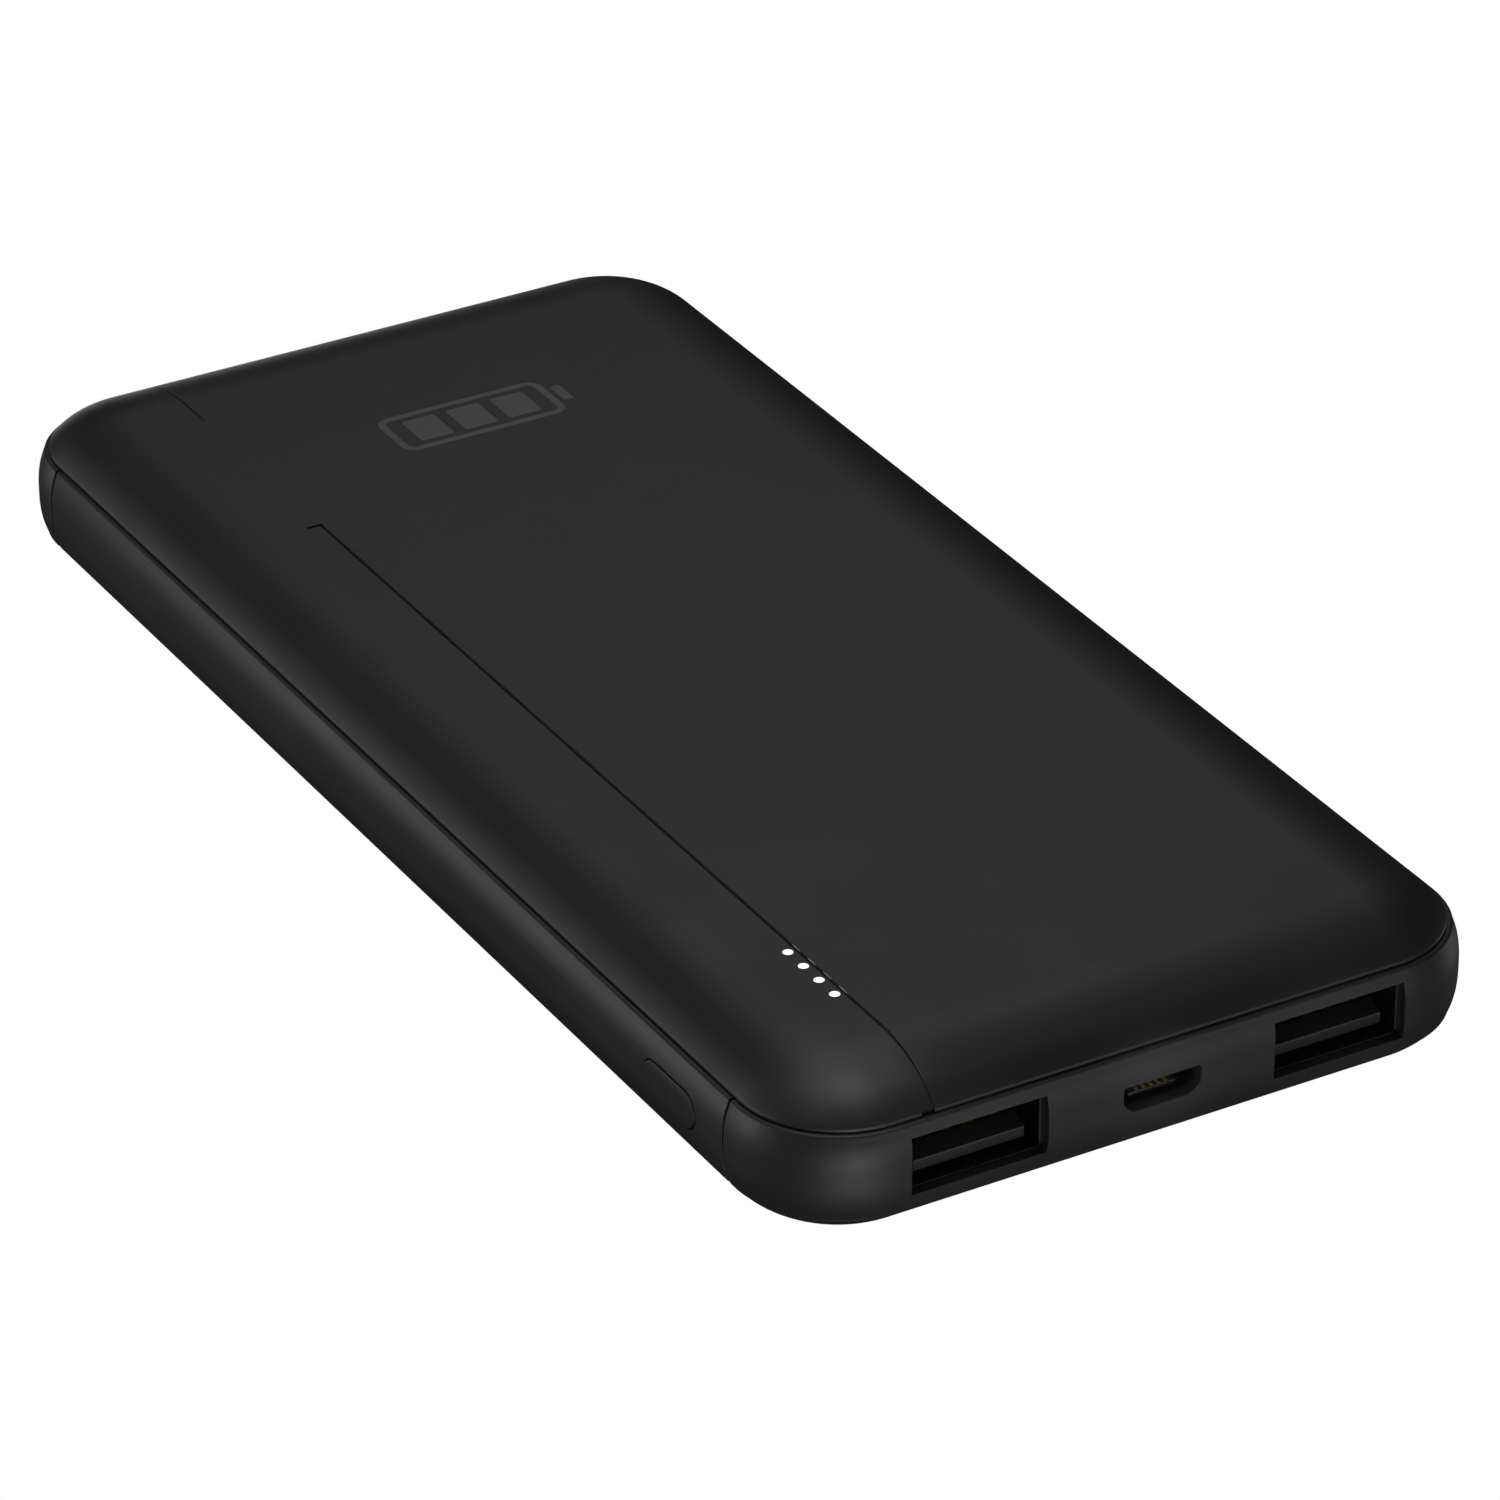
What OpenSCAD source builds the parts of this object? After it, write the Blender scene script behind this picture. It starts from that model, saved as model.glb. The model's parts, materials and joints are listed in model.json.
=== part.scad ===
// Pocket power bank: two shallow covers over a band of two side rails and two
// end caps, around an inner chassis with a circuit board and two flat cells.
// Millimetres. +Z is up, the ports face -Y, and the origin is the centre of
// the bottom face.

/* [Case] */
// Width of the case, along X
case_w = 69; // [69:0.5:73]
// Length of the case, along Y
case_l = 145.6; // [145.6:0.2:150]
// Thickness of the case, along Z
case_h = 14.9; // [14.9:0.1:16]
// Radius of the case's four corners, seen from above
corner_r = 10.2; // [10.2:0.1:11]

/* [Covers] */
// How far the rounded edge of a cover runs in from the side
edge_run = 10.1; // [8:0.1:10.1]
// Height over which the rounded edge drops
edge_drop = 6.2; // [5.8:0.1:6.6]
// Fullness of the rounded edge, where 2 is an ellipse
edge_power = 2.14; // [2:0.02:2.3]
// Thickness of a cover's flat part
cover_wall = 1.5; // [1.3:0.1:1.6]
// Distance from a flat face to its seam with the band
seam_drop = 3.4; // [3.2:0.05:3.5]
// Width of the seams between a cover and the band
seam_gap = 0.12; // [0.1:0.01:0.2]
// Width of the upright seams between a rail and an end cap
joint_gap = 0.24; // [0.1:0.02:0.3]
// Height of the upright lip at the foot of a cover
cover_lip_h = 0.3; // [0.1:0.05:0.4]

/* [Band] */
// Thickness of the rails and the end caps
band_wall = 1.6; // [1.4:0.1:1.6]
// How far the band's upper and lower edges lie inside its middle
crown_depth = 0.8; // [0.3:0.05:0.9]
// How late the band curves in towards its edges, where 2 is a parabola
crown_power = 2.8; // [2:0.1:3.5]
// Bevel on the band's upper and lower edges
band_bevel = 0.2; // [0.1:0.05:0.3]
// Length of each end cap, along Y
cap_l = 10.8; // [10.8:0.1:11.5]
// How far both rails lie towards the rear
rail_shift = 0.3; // [0:0.1:0.3]

/* [Engraved line] */
// Distance of the line to the left of the centre
line_x = 20.3; // [19.5:0.1:20.3]
// Width of the line
line_w = 0.4; // [0.2:0.05:0.4]
// Depth of the line
line_d = 0.3; // [0.1:0.05:0.3]
// Where the front stretch of the line ends, along Y
line_stop_y = 35.2; // [20:0.1:50]
// Length of the hook that ends the front stretch
line_hook = 1.4; // [0.5:0.1:3]
// Where the rear stretch of the line starts, along Y
line_restart_y = 58.5; // [55:0.1:60]

/* [Indicator lights] */
// Number of lights
light_count = 4; // [2:1:4]
// Distance of the lights to the left of the centre
light_x = 21.1; // [21.1:0.05:21.5]
// Spacing of the lights
light_pitch = 2.5; // [2:0.1:2.5]
// Diameter of each light
light_d = 0.9; // [0.8:0.05:0.9]

/* [Power button] */
// Length of the button, along Y
button_l = 8.5; // [7:0.1:9]
// Height of the button, along Z
button_h = 3.3; // [2.6:0.1:3.4]
// Distance of the button's middle from the front end of the case
button_from_front = 19.7; // [19:0.1:20.5]
// Gap around the button
button_gap = 0.12; // [0.1:0.01:0.2]
// How far the button can be pressed
button_travel = 0.3; // [0.1:0.05:0.3]
// How far the button stands out of the rail
button_proud = 0.12; // [0:0.02:0.2]

/* [Ports] */
// Distance between the two wide ports
usb_spacing = 34.7; // [34:0.1:35]
// Sideways offset of the three ports
port_shift = 0.5; // [0:0.05:0.5]
// Width of a wide port's opening
usb_open_w = 12.8; // [12.6:0.1:12.9]
// Height of a wide port's opening
usb_open_h = 5.35; // [5.2:0.05:5.4]
// Width of the small port's opening
micro_open_w = 7.4; // [7.2:0.1:7.5]
// Height of the small port's opening
micro_open_h = 2.45; // [2.3:0.05:2.5]
// Thickness of the lip around each opening
port_lip = 1.1; // [0.6:0.05:1.1]

/* [Cells] */
// Width of a cell
cell_w = 57; // [50:0.5:57]
// Length of a cell
cell_l = 100.5; // [90:0.5:100.5]
// Thickness of a cell
cell_t = 5.4; // [4.5:0.1:5.4]

/* [Hidden] */
$fn = 48;
eps = 0.01;

// Planes and half sizes of the case
mid_z = case_h / 2;
half_w = case_w / 2;
half_l = case_l / 2;
seam_h = mid_z - seam_drop;
band_half_h = seam_h - seam_gap / 2;
cover_foot_h = seam_h + seam_gap / 2;
joint_y = half_l - cap_l;
inner_top_h = mid_z - cover_wall;

// Rounded edge of a cover
edge_steps = 9;
edge_start = mid_z - edge_drop;
edge_foot_h = cover_foot_h + cover_lip_h;

// Steps of the band's crown, from its middle to an edge
crown_steps = 4;

// Snap lip of a cover and the chassis wall that it grips, as insets from the
// outside of the case
chassis_inset = band_wall + 0.15;
chassis_wall = 1;
lip_inset = chassis_inset + chassis_wall + 0.2;
lip_wall = 0.8;
lip_foot_h = 3.3;
shoulder_inset = 6;
shoulder_drop = 0.95;
chassis_half_h = seam_h - 0.25;
clear = 0.1;

// Circuit board
micro_z = mid_z + 0.1;
micro_shell_h = 2.8;
board_top_z = micro_z - micro_shell_h / 2;
board_t = 1;
board_bottom_z = board_top_z - board_t;
board_gap = 0.3;
board_front_y = -half_l + chassis_inset + chassis_wall + board_gap;
board_l = 29.6;
board_rear_y = board_front_y + board_l;
wall_y = board_rear_y + 0.6;
wall_t = 1;
screw_x = half_w - 7.5;
screw_rows = [-half_l + 11.8, -half_l + 29.3];
screw_r = 0.8;
screw_head_r = 1.4;
screw_head_h = 0.7;
boss_r = 1.7;
floor_z = 1.7;
floor_t = 0.8;
floor_inset = 6.2;

// Wide ports
usb_z = mid_z + 0.2;
usb_shell_w = 12.9;
usb_shell_h = 5.45;
usb_sheet = 0.3;
usb_shell_l = 13.5;
usb_front_y = -half_l + port_lip + 0.05;
usb_rear_y = usb_front_y + usb_shell_l;
usb_tongue_w = 10.6;
usb_tongue_t = 1.84;
usb_tongue_rise = 0.5;
usb_tongue_tip_y = -half_l + 1.85;
usb_block_l = 3;
usb_contact_w = 1;
usb_contact_t = 0.15;
usb_contact_offsets = [-3.5, -1, 1, 3.5];
usb_x = [port_shift - usb_spacing / 2, port_shift + usb_spacing / 2];

// Small port
micro_x = port_shift;
micro_shell_w = 7.8;
micro_sheet = 0.25;
micro_corner = 0.9;
micro_l = 5.2;
micro_lip = 1.2;
micro_front_y = -half_l + micro_lip + 0.05;
micro_tongue_w = 3.9;
micro_tongue_t = 0.42;
micro_tongue_low = 0.02 + micro_sheet - micro_shell_h / 2;
micro_tongue_front_y = micro_front_y + 0.3;
micro_contact_t = 0.1;
micro_pitch = 0.65;

// Indicator lights
light_first_y = -half_l + 16;
light_ys = [for (i = [0 : light_count - 1]) light_first_y + i * light_pitch];
light_mid_y = light_first_y + (light_count - 1) * light_pitch / 2;
light_bar_z = board_top_z + 1;
light_bar_t = 1.2;

// Power button and its switch
button_y = -half_l + button_from_front;
button_face_x = -half_w - button_proud;
button_flange_x = -half_w + band_wall + 0.15;
button_flange_t = 0.6;
button_flange_over = 0.9;
button_stem_l = 0.5;
switch_z = mid_z;
switch_x = -half_w + 4.3;
switch_depth = 3.6;
switch_l = 6.2;
switch_h = 2.8;
plunger_x = button_flange_x + button_flange_t + button_stem_l;
plunger_l = 2.2;
plunger_w = 2.6;
plunger_h = 1.4;

// Cells, tape, pads and their small board
cell_rear_y = half_l - 8.3;
cell_front_y = cell_rear_y - cell_l;
cell_r = 2.5;
cell_split = 0.1;
cell_edge = 0.8;
pad_t = 0.3;
cell_board_w = 30;
cell_board_t = 0.8;
cell_board_half_h = 3.4;
cell_board_y = cell_front_y - 1.6;
tab_w = 4;
tab_t = 0.15;
tab_xs = [-9, 9];
lead_d = 1.3;
lead_x = 6;
lead_bend_r = 2;
lead_z = mid_z + 1.6;
lead_pad_y = wall_y - 3.2;

// Half-height h above the middle plane gives a point of the cover's outside,
// where d sinks the point into the cover: [inset from the side, height].
function edge_angle(h) = asin(pow((h - edge_start) / edge_drop, edge_power / 2));
function edge_point(u, d) = [
    edge_run * (1 - pow(cos(u), 2 / edge_power)) + d * cos(u),
    edge_start + edge_drop * pow(sin(u), 2 / edge_power) - d * sin(u)];
function edge_points(from, d) = [for (i = [0 : edge_steps])
    edge_point(from + (90 - from) * i / edge_steps, d)];
function reversed(list) = [for (i = [len(list) - 1 : -1 : 0]) list[i]];

// A box between two corners
module block(low, high) {
    translate(low) cube(high - low);
}

// A rectangle with round corners, centred
module round_rect(w, h, r) {
    square([w - 2 * r, h], center = true);
    square([w, h - 2 * r], center = true);
    for (x = [-1, 1], y = [-1, 1])
        translate([x * (w / 2 - r), y * (h / 2 - r)]) circle(r);
}

// Plate with its front corners rounded in line with the case corners
module front_plate(inset, rear_y, low_z, high_z) {
    r = corner_r - inset;
    half = half_w - inset;
    front_y = -half_l + inset;
    translate([0, 0, low_z]) linear_extrude(high_z - low_z) {
        translate([-half + r, front_y]) square([2 * (half - r), rear_y - front_y]);
        translate([-half, front_y + r]) square([2 * half, rear_y - front_y - r]);
        for (side = [-1, 1]) translate([side * (half - r), front_y + r]) circle(r);
    }
}

// Extrudes an XZ outline from y0 to y1
module along_y(y0, y1) {
    translate([0, y1, 0]) rotate([90, 0, 0]) linear_extrude(y1 - y0) children();
}

// Extrudes a YZ outline from x0 to x1
module along_x(x0, x1) {
    translate([x0, 0, 0]) rotate([90, 0, 90]) linear_extrude(x1 - x0) children();
}

// Takes a section, drawn outward from the centre of a corner, round one corner
module corner_turn(x_side, y_side) {
    start = y_side > 0 ? (x_side > 0 ? 0 : 90) : (x_side > 0 ? 270 : 180);
    translate([x_side * (half_w - corner_r), y_side * (half_l - corner_r), 0])
        rotate(start) rotate_extrude(angle = 90) children();
}

// Takes the same section along one long side, between two places on Y
module side_run(x_side, y0, y1) {
    translate([x_side * (half_w - corner_r), 0, 0]) along_y(y0, y1)
        mirror([x_side > 0 ? 0 : 1, 0]) children();
}

// Takes the same section across one end
module end_run(y_side) {
    translate([0, y_side * (half_l - corner_r), 0])
        along_x(-half_w + corner_r, half_w - corner_r)
            mirror([y_side > 0 ? 0 : 1, 0]) children();
}

// Takes the same section all round the case
module full_turn() {
    for (side = [-1, 1]) {
        side_run(side, -half_l + corner_r, half_l - corner_r) children();
        end_run(side) children();
        for (y_side = [-1, 1]) corner_turn(side, y_side) children();
    }
}

// Section of a cover's rim, with height measured from the middle plane
module cover_section() {
    foot = edge_points(edge_angle(edge_foot_h), 0);
    lip_outer = corner_r - lip_inset;
    lip_inner = lip_outer - lip_wall;
    polygon(concat(
        [[corner_r - foot[0][0], cover_foot_h]],
        [for (p = foot) [corner_r - p[0], p[1]]],
        [[0, mid_z], [0, inner_top_h], [corner_r - shoulder_inset, inner_top_h],
            [lip_inner, inner_top_h - shoulder_drop], [lip_inner, lip_foot_h],
            [lip_outer, lip_foot_h], [lip_outer, cover_foot_h]]));
}

// One cover, with its flat face up and the middle plane at z = 0
module cover_shell() {
    full_turn() cover_section();
    block([-half_w + corner_r, -half_l + corner_r, inner_top_h],
        [half_w - corner_r, half_l - corner_r, mid_z]);
}

// Cutter for the engraved line where it runs over a rounded end of the cover
module line_over_end(y_side) {
    foot = edge_angle(edge_foot_h) - 8;
    outline = concat(edge_points(foot, line_d), reversed(edge_points(foot, -1)));
    translate([-line_x, 0, 0]) along_x(-line_w / 2, line_w / 2)
        polygon([for (p = outline) [y_side * (half_l - p[0]), p[1]]]);
}

// Cutter for the whole engraved line
module engraved_line() {
    flat_y = half_l - edge_run;
    line_overlap = 0.2;
    low_z = mid_z - line_d;
    high_z = mid_z + 1;
    left = -line_x - line_w / 2;
    right = -line_x + line_w / 2;
    line_over_end(-1);
    line_over_end(1);
    block([left, -flat_y - line_overlap, low_z], [right, line_stop_y, high_z]);
    block([-line_x - line_hook, line_stop_y - line_w, low_z], [right, line_stop_y, high_z]);
    block([left, line_restart_y, low_z], [right, flat_y + line_overlap, high_z]);
}

// Cutter for the pry notch in the cover's foot, beside the engraved line
module pry_notch() {
    notch_l = 1.5;
    reach = 1.75;
    block([-line_x - notch_l, -half_l - 1, 0],
        [-line_x + line_w / 2, -half_l + reach, edge_foot_h]);
}

module top_cover() {
    hole_gap = 0.06;
    color("#2c2c2d") translate([0, 0, mid_z]) difference() {
        cover_shell();
        engraved_line();
        pry_notch();
        for (y = light_ys)
            translate([-light_x, y, inner_top_h - eps])
                cylinder(d = light_d + 2 * hole_gap, h = cover_wall + 2 * eps);
    }
}

module bottom_cover() {
    color("#262627") translate([0, 0, mid_z]) mirror([0, 0, 1]) cover_shell();
}

// Outside of the band at height h above its middle, as an inset
function crown_inset(h) = crown_depth * pow(abs(h) / band_half_h, crown_power);

// Section of the band, crowned outward and bevelled at its edges
module band_section() {
    shoulder_h = band_half_h - band_bevel;
    edge_x = corner_r - crown_depth - band_bevel;
    polygon(concat(
        [[corner_r - band_wall, mid_z - band_half_h], [edge_x, mid_z - band_half_h]],
        [for (i = [-crown_steps : crown_steps]) let (h = shoulder_h * i / crown_steps)
            [corner_r - crown_inset(h), mid_z + h]],
        [[edge_x, mid_z + band_half_h], [corner_r - band_wall, mid_z + band_half_h]]));
}

// Pill outline in the YZ plane, as used by the button and its hole
module pill(l, h) {
    square([l - h, h], center = true);
    for (side = [-1, 1]) translate([side * (l - h) / 2, 0]) circle(h / 2);
}

module left_rail() {
    end_y = joint_y - joint_gap / 2;
    color("#333334") difference() {
        side_run(-1, rail_shift - end_y, rail_shift + end_y) band_section();
        along_x(-half_w - 1, -half_w + band_wall + 1)
            translate([button_y, mid_z])
                pill(button_l + 2 * button_gap, button_h + 2 * button_gap);
    }
}

module right_rail() {
    end_y = joint_y - joint_gap / 2;
    color("#333334") side_run(1, rail_shift - end_y, rail_shift + end_y) band_section();
}

// An end cap without openings, a U round two corners
module end_cap(y_side) {
    start_y = joint_y + joint_gap / 2 + y_side * rail_shift;
    corner_y = half_l - corner_r;
    for (x_side = [-1, 1]) {
        corner_turn(x_side, y_side) band_section();
        side_run(x_side, min(y_side * start_y, y_side * corner_y),
            max(y_side * start_y, y_side * corner_y)) band_section();
    }
    end_run(y_side) band_section();
}

// Outline of the small port, wide side up with its lower corners cut off
module micro_outline(w, h, cut) {
    polygon([[-w / 2, h / 2], [w / 2, h / 2], [w / 2, cut - h / 2],
        [w / 2 - cut, -h / 2], [cut - w / 2, -h / 2], [-w / 2, cut - h / 2]]);
}

module front_cap() {
    fit = 0.15;
    rear = -half_l + band_wall + 1;
    color("#333334") difference() {
        end_cap(-1);
        for (x = usb_x) {
            translate([x, 0, usb_z]) along_y(-half_l - 1, rear)
                square([usb_open_w, usb_open_h], center = true);
            translate([x, 0, usb_z]) along_y(-half_l + port_lip, rear)
                square([usb_shell_w + 2 * fit, usb_shell_h + 2 * fit], center = true);
        }
        translate([micro_x, 0, micro_z]) along_y(-half_l - 1, rear)
            micro_outline(micro_open_w, micro_open_h, micro_corner);
        translate([micro_x, 0, micro_z]) along_y(-half_l + micro_lip, rear)
            square([micro_shell_w + 2 * fit, micro_shell_h + 2 * fit], center = true);
    }
}

module rear_cap() {
    color("#333334") end_cap(1);
}

// Section of the chassis wall, just inside the band
module chassis_section() {
    translate([corner_r - chassis_inset - chassis_wall, mid_z - chassis_half_h])
        square([chassis_wall, 2 * chassis_half_h]);
}

// The inner moulding: a wall all round, a cross wall between the board and the
// cells, and a floor with screw bosses under the board
module chassis() {
    fit = 0.2;
    wall_in = half_w - chassis_inset - chassis_wall;
    lip_clear = lip_foot_h - 0.3;
    inner_h = inner_top_h - clear;
    notch_half_w = lead_x + 2.5;
    window_l = button_l + 2 * button_flange_over + 0.6;
    window_h = button_h + 2 * button_flange_over + 0.6;
    color("#8d9094") difference() {
        union() {
            full_turn() chassis_section();
            block([-wall_in - eps, wall_y, mid_z - lip_clear],
                [wall_in + eps, wall_y + wall_t, mid_z + lip_clear]);
            block([-half_w + floor_inset, wall_y, floor_z],
                [half_w - floor_inset, wall_y + wall_t, mid_z + inner_h - 0.3]);
            front_plate(floor_inset, wall_y + wall_t, floor_z, floor_z + floor_t);
            for (x = [-screw_x, screw_x], y = screw_rows)
                translate([x, y, floor_z + floor_t / 2])
                    cylinder(r = boss_r, h = board_bottom_z - floor_z - floor_t / 2);
        }
        for (x = [-screw_x, screw_x], y = screw_rows)
            translate([x, y, floor_z + floor_t]) cylinder(r = screw_r, h = case_h);
        for (x = usb_x)
            translate([x, 0, usb_z]) along_y(-half_l, usb_rear_y + fit)
                square([usb_shell_w + 2 * fit, usb_shell_h + 2 * fit], center = true);
        translate([micro_x, 0, micro_z]) along_y(-half_l, board_front_y)
            square([micro_shell_w + 2 * fit, micro_shell_h + 2 * fit], center = true);
        along_x(-half_w, -wall_in + eps)
            translate([button_y, mid_z]) square([window_l, window_h], center = true);
        block([-notch_half_w, wall_y - 1, board_top_z + 0.6],
            [notch_half_w, wall_y + wall_t + 1, case_h]);
    }
}

module power_button() {
    over = 2 * button_flange_over;
    flange_rear = button_flange_x + button_flange_t;
    color("#2f2f30") {
        along_x(button_face_x, button_flange_x + eps)
            translate([button_y, mid_z]) pill(button_l, button_h);
        along_x(button_flange_x, flange_rear)
            translate([button_y, mid_z]) pill(button_l + over, button_h + over);
        along_x(flange_rear - eps, plunger_x)
            translate([button_y, mid_z]) square([3.2, 2], center = true);
    }
}

module switch_plunger() {
    color("#1b1b1c") along_x(plunger_x, plunger_x + plunger_l)
        translate([button_y, switch_z]) square([plunger_w, plunger_h], center = true);
}

module switch_body() {
    slack = 0.12;
    color("#d9d6cc") difference() {
        block([switch_x, button_y - switch_l / 2, board_top_z],
            [switch_x + switch_depth, button_y + switch_l / 2, board_top_z + switch_h]);
        along_x(switch_x - 1, plunger_x + plunger_l + button_travel + slack)
            translate([button_y, switch_z])
                square([plunger_w + 2 * slack, plunger_h + 2 * slack], center = true);
    }
}

// Four clear pins on a bar carry the light to the top face
module light_guide() {
    bar_l = (light_count - 1) * light_pitch + 2;
    sunk = 0.05;
    color("#f2f5f7") {
        translate([-light_x, light_mid_y, light_bar_z + light_bar_t / 2])
            cube([2, bar_l, light_bar_t], center = true);
        for (y = light_ys)
            translate([-light_x, y, light_bar_z + light_bar_t / 2])
                cylinder(d = light_d, h = case_h - sunk - light_bar_z - light_bar_t / 2);
    }
}

module status_leds() {
    color("#f5edc0") for (y = light_ys)
        translate([-light_x, y, board_top_z + 0.35]) cube([1.6, 0.8, 0.7], center = true);
}

module main_board() {
    slot = 0.15;
    color("#1d5f3c") difference() {
        front_plate(chassis_inset + chassis_wall + board_gap, board_rear_y,
            board_bottom_z, board_top_z);
        for (x = usb_x)
            block([x - usb_shell_w / 2 - slot, board_front_y - 1, board_bottom_z - 1],
                [x + usb_shell_w / 2 + slot, usb_rear_y + slot, board_top_z + 1]);
        for (x = [-screw_x, screw_x], y = screw_rows)
            translate([x, y, board_bottom_z - 1]) cylinder(r = screw_r + 0.1, h = board_t + 2);
    }
}

// Folded steel shell of a wide port, with two spring windows above and below
module usb_shell(x) {
    window_w = 1.8;
    window_l = 4.5;
    color("#b9bcc0") difference() {
        translate([x, 0, usb_z]) along_y(usb_front_y, usb_rear_y) difference() {
            round_rect(usb_shell_w, usb_shell_h, 0.6);
            round_rect(usb_shell_w - 2 * usb_sheet, usb_shell_h - 2 * usb_sheet, 0.3);
        }
        for (side = [-1, 1])
            translate([x + side * 3.1, usb_front_y + 3 + window_l / 2, usb_z])
                cube([window_w, window_l, usb_shell_h + 1], center = true);
    }
}

// Insulator of a wide port: a rear block and the tongue that carries the contacts
module usb_tongue(x) {
    low_z = usb_z - usb_shell_h / 2 + usb_sheet;
    high_z = low_z + usb_shell_h - 2 * usb_sheet;
    fit = 0.03;
    inner_w = usb_shell_w - 2 * usb_sheet;
    tongue_z = low_z + usb_tongue_rise;
    ramp_l = 1.6;
    ramp_h = 0.7;
    color("#262628") {
        block([x - inner_w / 2 + 0.3, usb_rear_y - usb_block_l, low_z + fit],
            [x + inner_w / 2 - 0.3, usb_rear_y - 0.1, high_z - fit]);
        along_x(x - usb_tongue_w / 2, x + usb_tongue_w / 2)
            polygon([[usb_tongue_tip_y, tongue_z], [usb_rear_y - usb_block_l / 2, tongue_z],
                [usb_rear_y - usb_block_l / 2, tongue_z + usb_tongue_t],
                [usb_tongue_tip_y + ramp_l, tongue_z + usb_tongue_t],
                [usb_tongue_tip_y, tongue_z + usb_tongue_t - ramp_h]]);
    }
}

module usb_contacts(x) {
    low_z = usb_z - usb_shell_h / 2 + usb_sheet + usb_tongue_rise + usb_tongue_t;
    front_y = usb_tongue_tip_y + 1.7;
    color("#c8a55a") for (offset = usb_contact_offsets)
        block([x + offset - usb_contact_w / 2, front_y, low_z],
            [x + offset + usb_contact_w / 2, usb_rear_y - usb_block_l, low_z + usb_contact_t]);
}

module micro_shell() {
    color("#b9bcc0") translate([micro_x, 0, micro_z])
        along_y(micro_front_y, micro_front_y + micro_l) difference() {
            micro_outline(micro_shell_w, micro_shell_h, micro_corner + 0.1);
            micro_outline(micro_shell_w - 2 * micro_sheet, micro_shell_h - 2 * micro_sheet,
                micro_corner);
        }
}

module micro_tongue() {
    rear = micro_front_y + micro_l;
    inner_w = micro_shell_w - 2 * micro_sheet - 0.1;
    inner_h = micro_shell_h - 2 * micro_sheet - 0.06;
    color("#1b1b1c") translate([micro_x, 0, micro_z]) {
        along_y(rear - 1.2, rear - 0.05) micro_outline(inner_w, inner_h, micro_corner);
        along_y(micro_tongue_front_y, rear - 1)
            translate([-micro_tongue_w / 2, micro_tongue_low])
                square([micro_tongue_w, micro_tongue_t]);
    }
}

module micro_contacts() {
    low_z = micro_z + micro_tongue_low + micro_tongue_t;
    color("#c8a55a") for (i = [-2 : 2])
        block([micro_x + i * micro_pitch - 0.15, micro_tongue_front_y + 0.2, low_z],
            [micro_x + i * micro_pitch + 0.15, micro_front_y + micro_l - 1.2,
                low_z + micro_contact_t]);
}

module power_inductor() {
    coil_x = 18;
    coil_y = -half_l + 24.6;
    size = 8;
    color("#4a4c50") translate([coil_x, coil_y, board_top_z]) {
        translate([0, 0, 0.5]) cube([size, size, 1], center = true);
        cylinder(r = 3.2, h = 3.6);
        translate([0, 0, 3.3]) cylinder(r = size / 2, h = 0.7);
    }
}

module controller_chip() {
    color("#1a1a1c") translate([-6, -half_l + 24, board_top_z + 0.45])
        cube([6, 6, 0.9], center = true);
}

module power_transistors() {
    color("#1a1a1c") for (i = [0 : 2])
        translate([5.5, -half_l + 19.9 + i * 3.7, board_top_z + 0.5])
            cube([4.9, 3.2, 1], center = true);
}

module capacitors() {
    can_d = 5;
    color("#a9acb0") for (x = [25.9, 10.8])
        translate([x, -half_l + 19.6, board_top_z]) cylinder(d = can_d - (x < 20 ? 1 : 0), h = 5);
}

module resistors() {
    color("#232326") for (i = [0 : 5])
        translate([-15 + (i % 2) * 2.6, -half_l + 19 + floor(i / 2) * 2.8, board_top_z + 0.25])
            cube([1.6, 0.8, 0.5], center = true);
}

// A flat cell with a rounded pouch edge, between two heights
module cell(low_z, high_z) {
    mid_y = (cell_front_y + cell_rear_y) / 2;
    translate([0, mid_y, low_z + cell_edge]) linear_extrude(high_z - low_z - 2 * cell_edge)
        round_rect(cell_w, cell_l, cell_r);
    translate([0, mid_y, low_z]) linear_extrude(high_z - low_z)
        round_rect(cell_w - 2 * cell_edge, cell_l - 2 * cell_edge, cell_r - cell_edge);
}

module lower_cell() {
    color("#9ea3a8") cell(mid_z - cell_split - cell_t, mid_z - cell_split);
}

module upper_cell() {
    color("#9ea3a8") cell(mid_z + cell_split, mid_z + cell_split + cell_t);
}

module cell_tape() {
    color("#d8c05a") translate([0, (cell_front_y + cell_rear_y) / 2, mid_z - cell_split])
        linear_extrude(2 * cell_split) square([cell_w - 14, cell_l - 20], center = true);
}

// Foam between a cell and a cover
module foam_pad(low_z) {
    color("#3c3c3f") translate([0, (cell_front_y + cell_rear_y) / 2, low_z])
        linear_extrude(pad_t) round_rect(cell_w - 18, cell_l - 26, 2);
}

module top_pad() {
    foam_pad(mid_z + cell_split + cell_t);
}

module bottom_pad() {
    foam_pad(mid_z - cell_split - cell_t - pad_t);
}

module cell_board() {
    color("#1d5f3c") block([-cell_board_w / 2, cell_board_y, mid_z - cell_board_half_h],
        [cell_board_w / 2, cell_board_y + cell_board_t, mid_z + cell_board_half_h]);
}

// Nickel tabs from both cells to the small board
module cell_tabs() {
    reach = cell_split + cell_t / 2;
    color("#c9c9c4") for (x = tab_xs, side = [-1, 1])
        translate([x, (cell_board_y + cell_board_t + cell_front_y) / 2, mid_z + side * reach])
            cube([tab_w, cell_front_y - cell_board_y - cell_board_t, tab_t], center = true);
}

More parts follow.
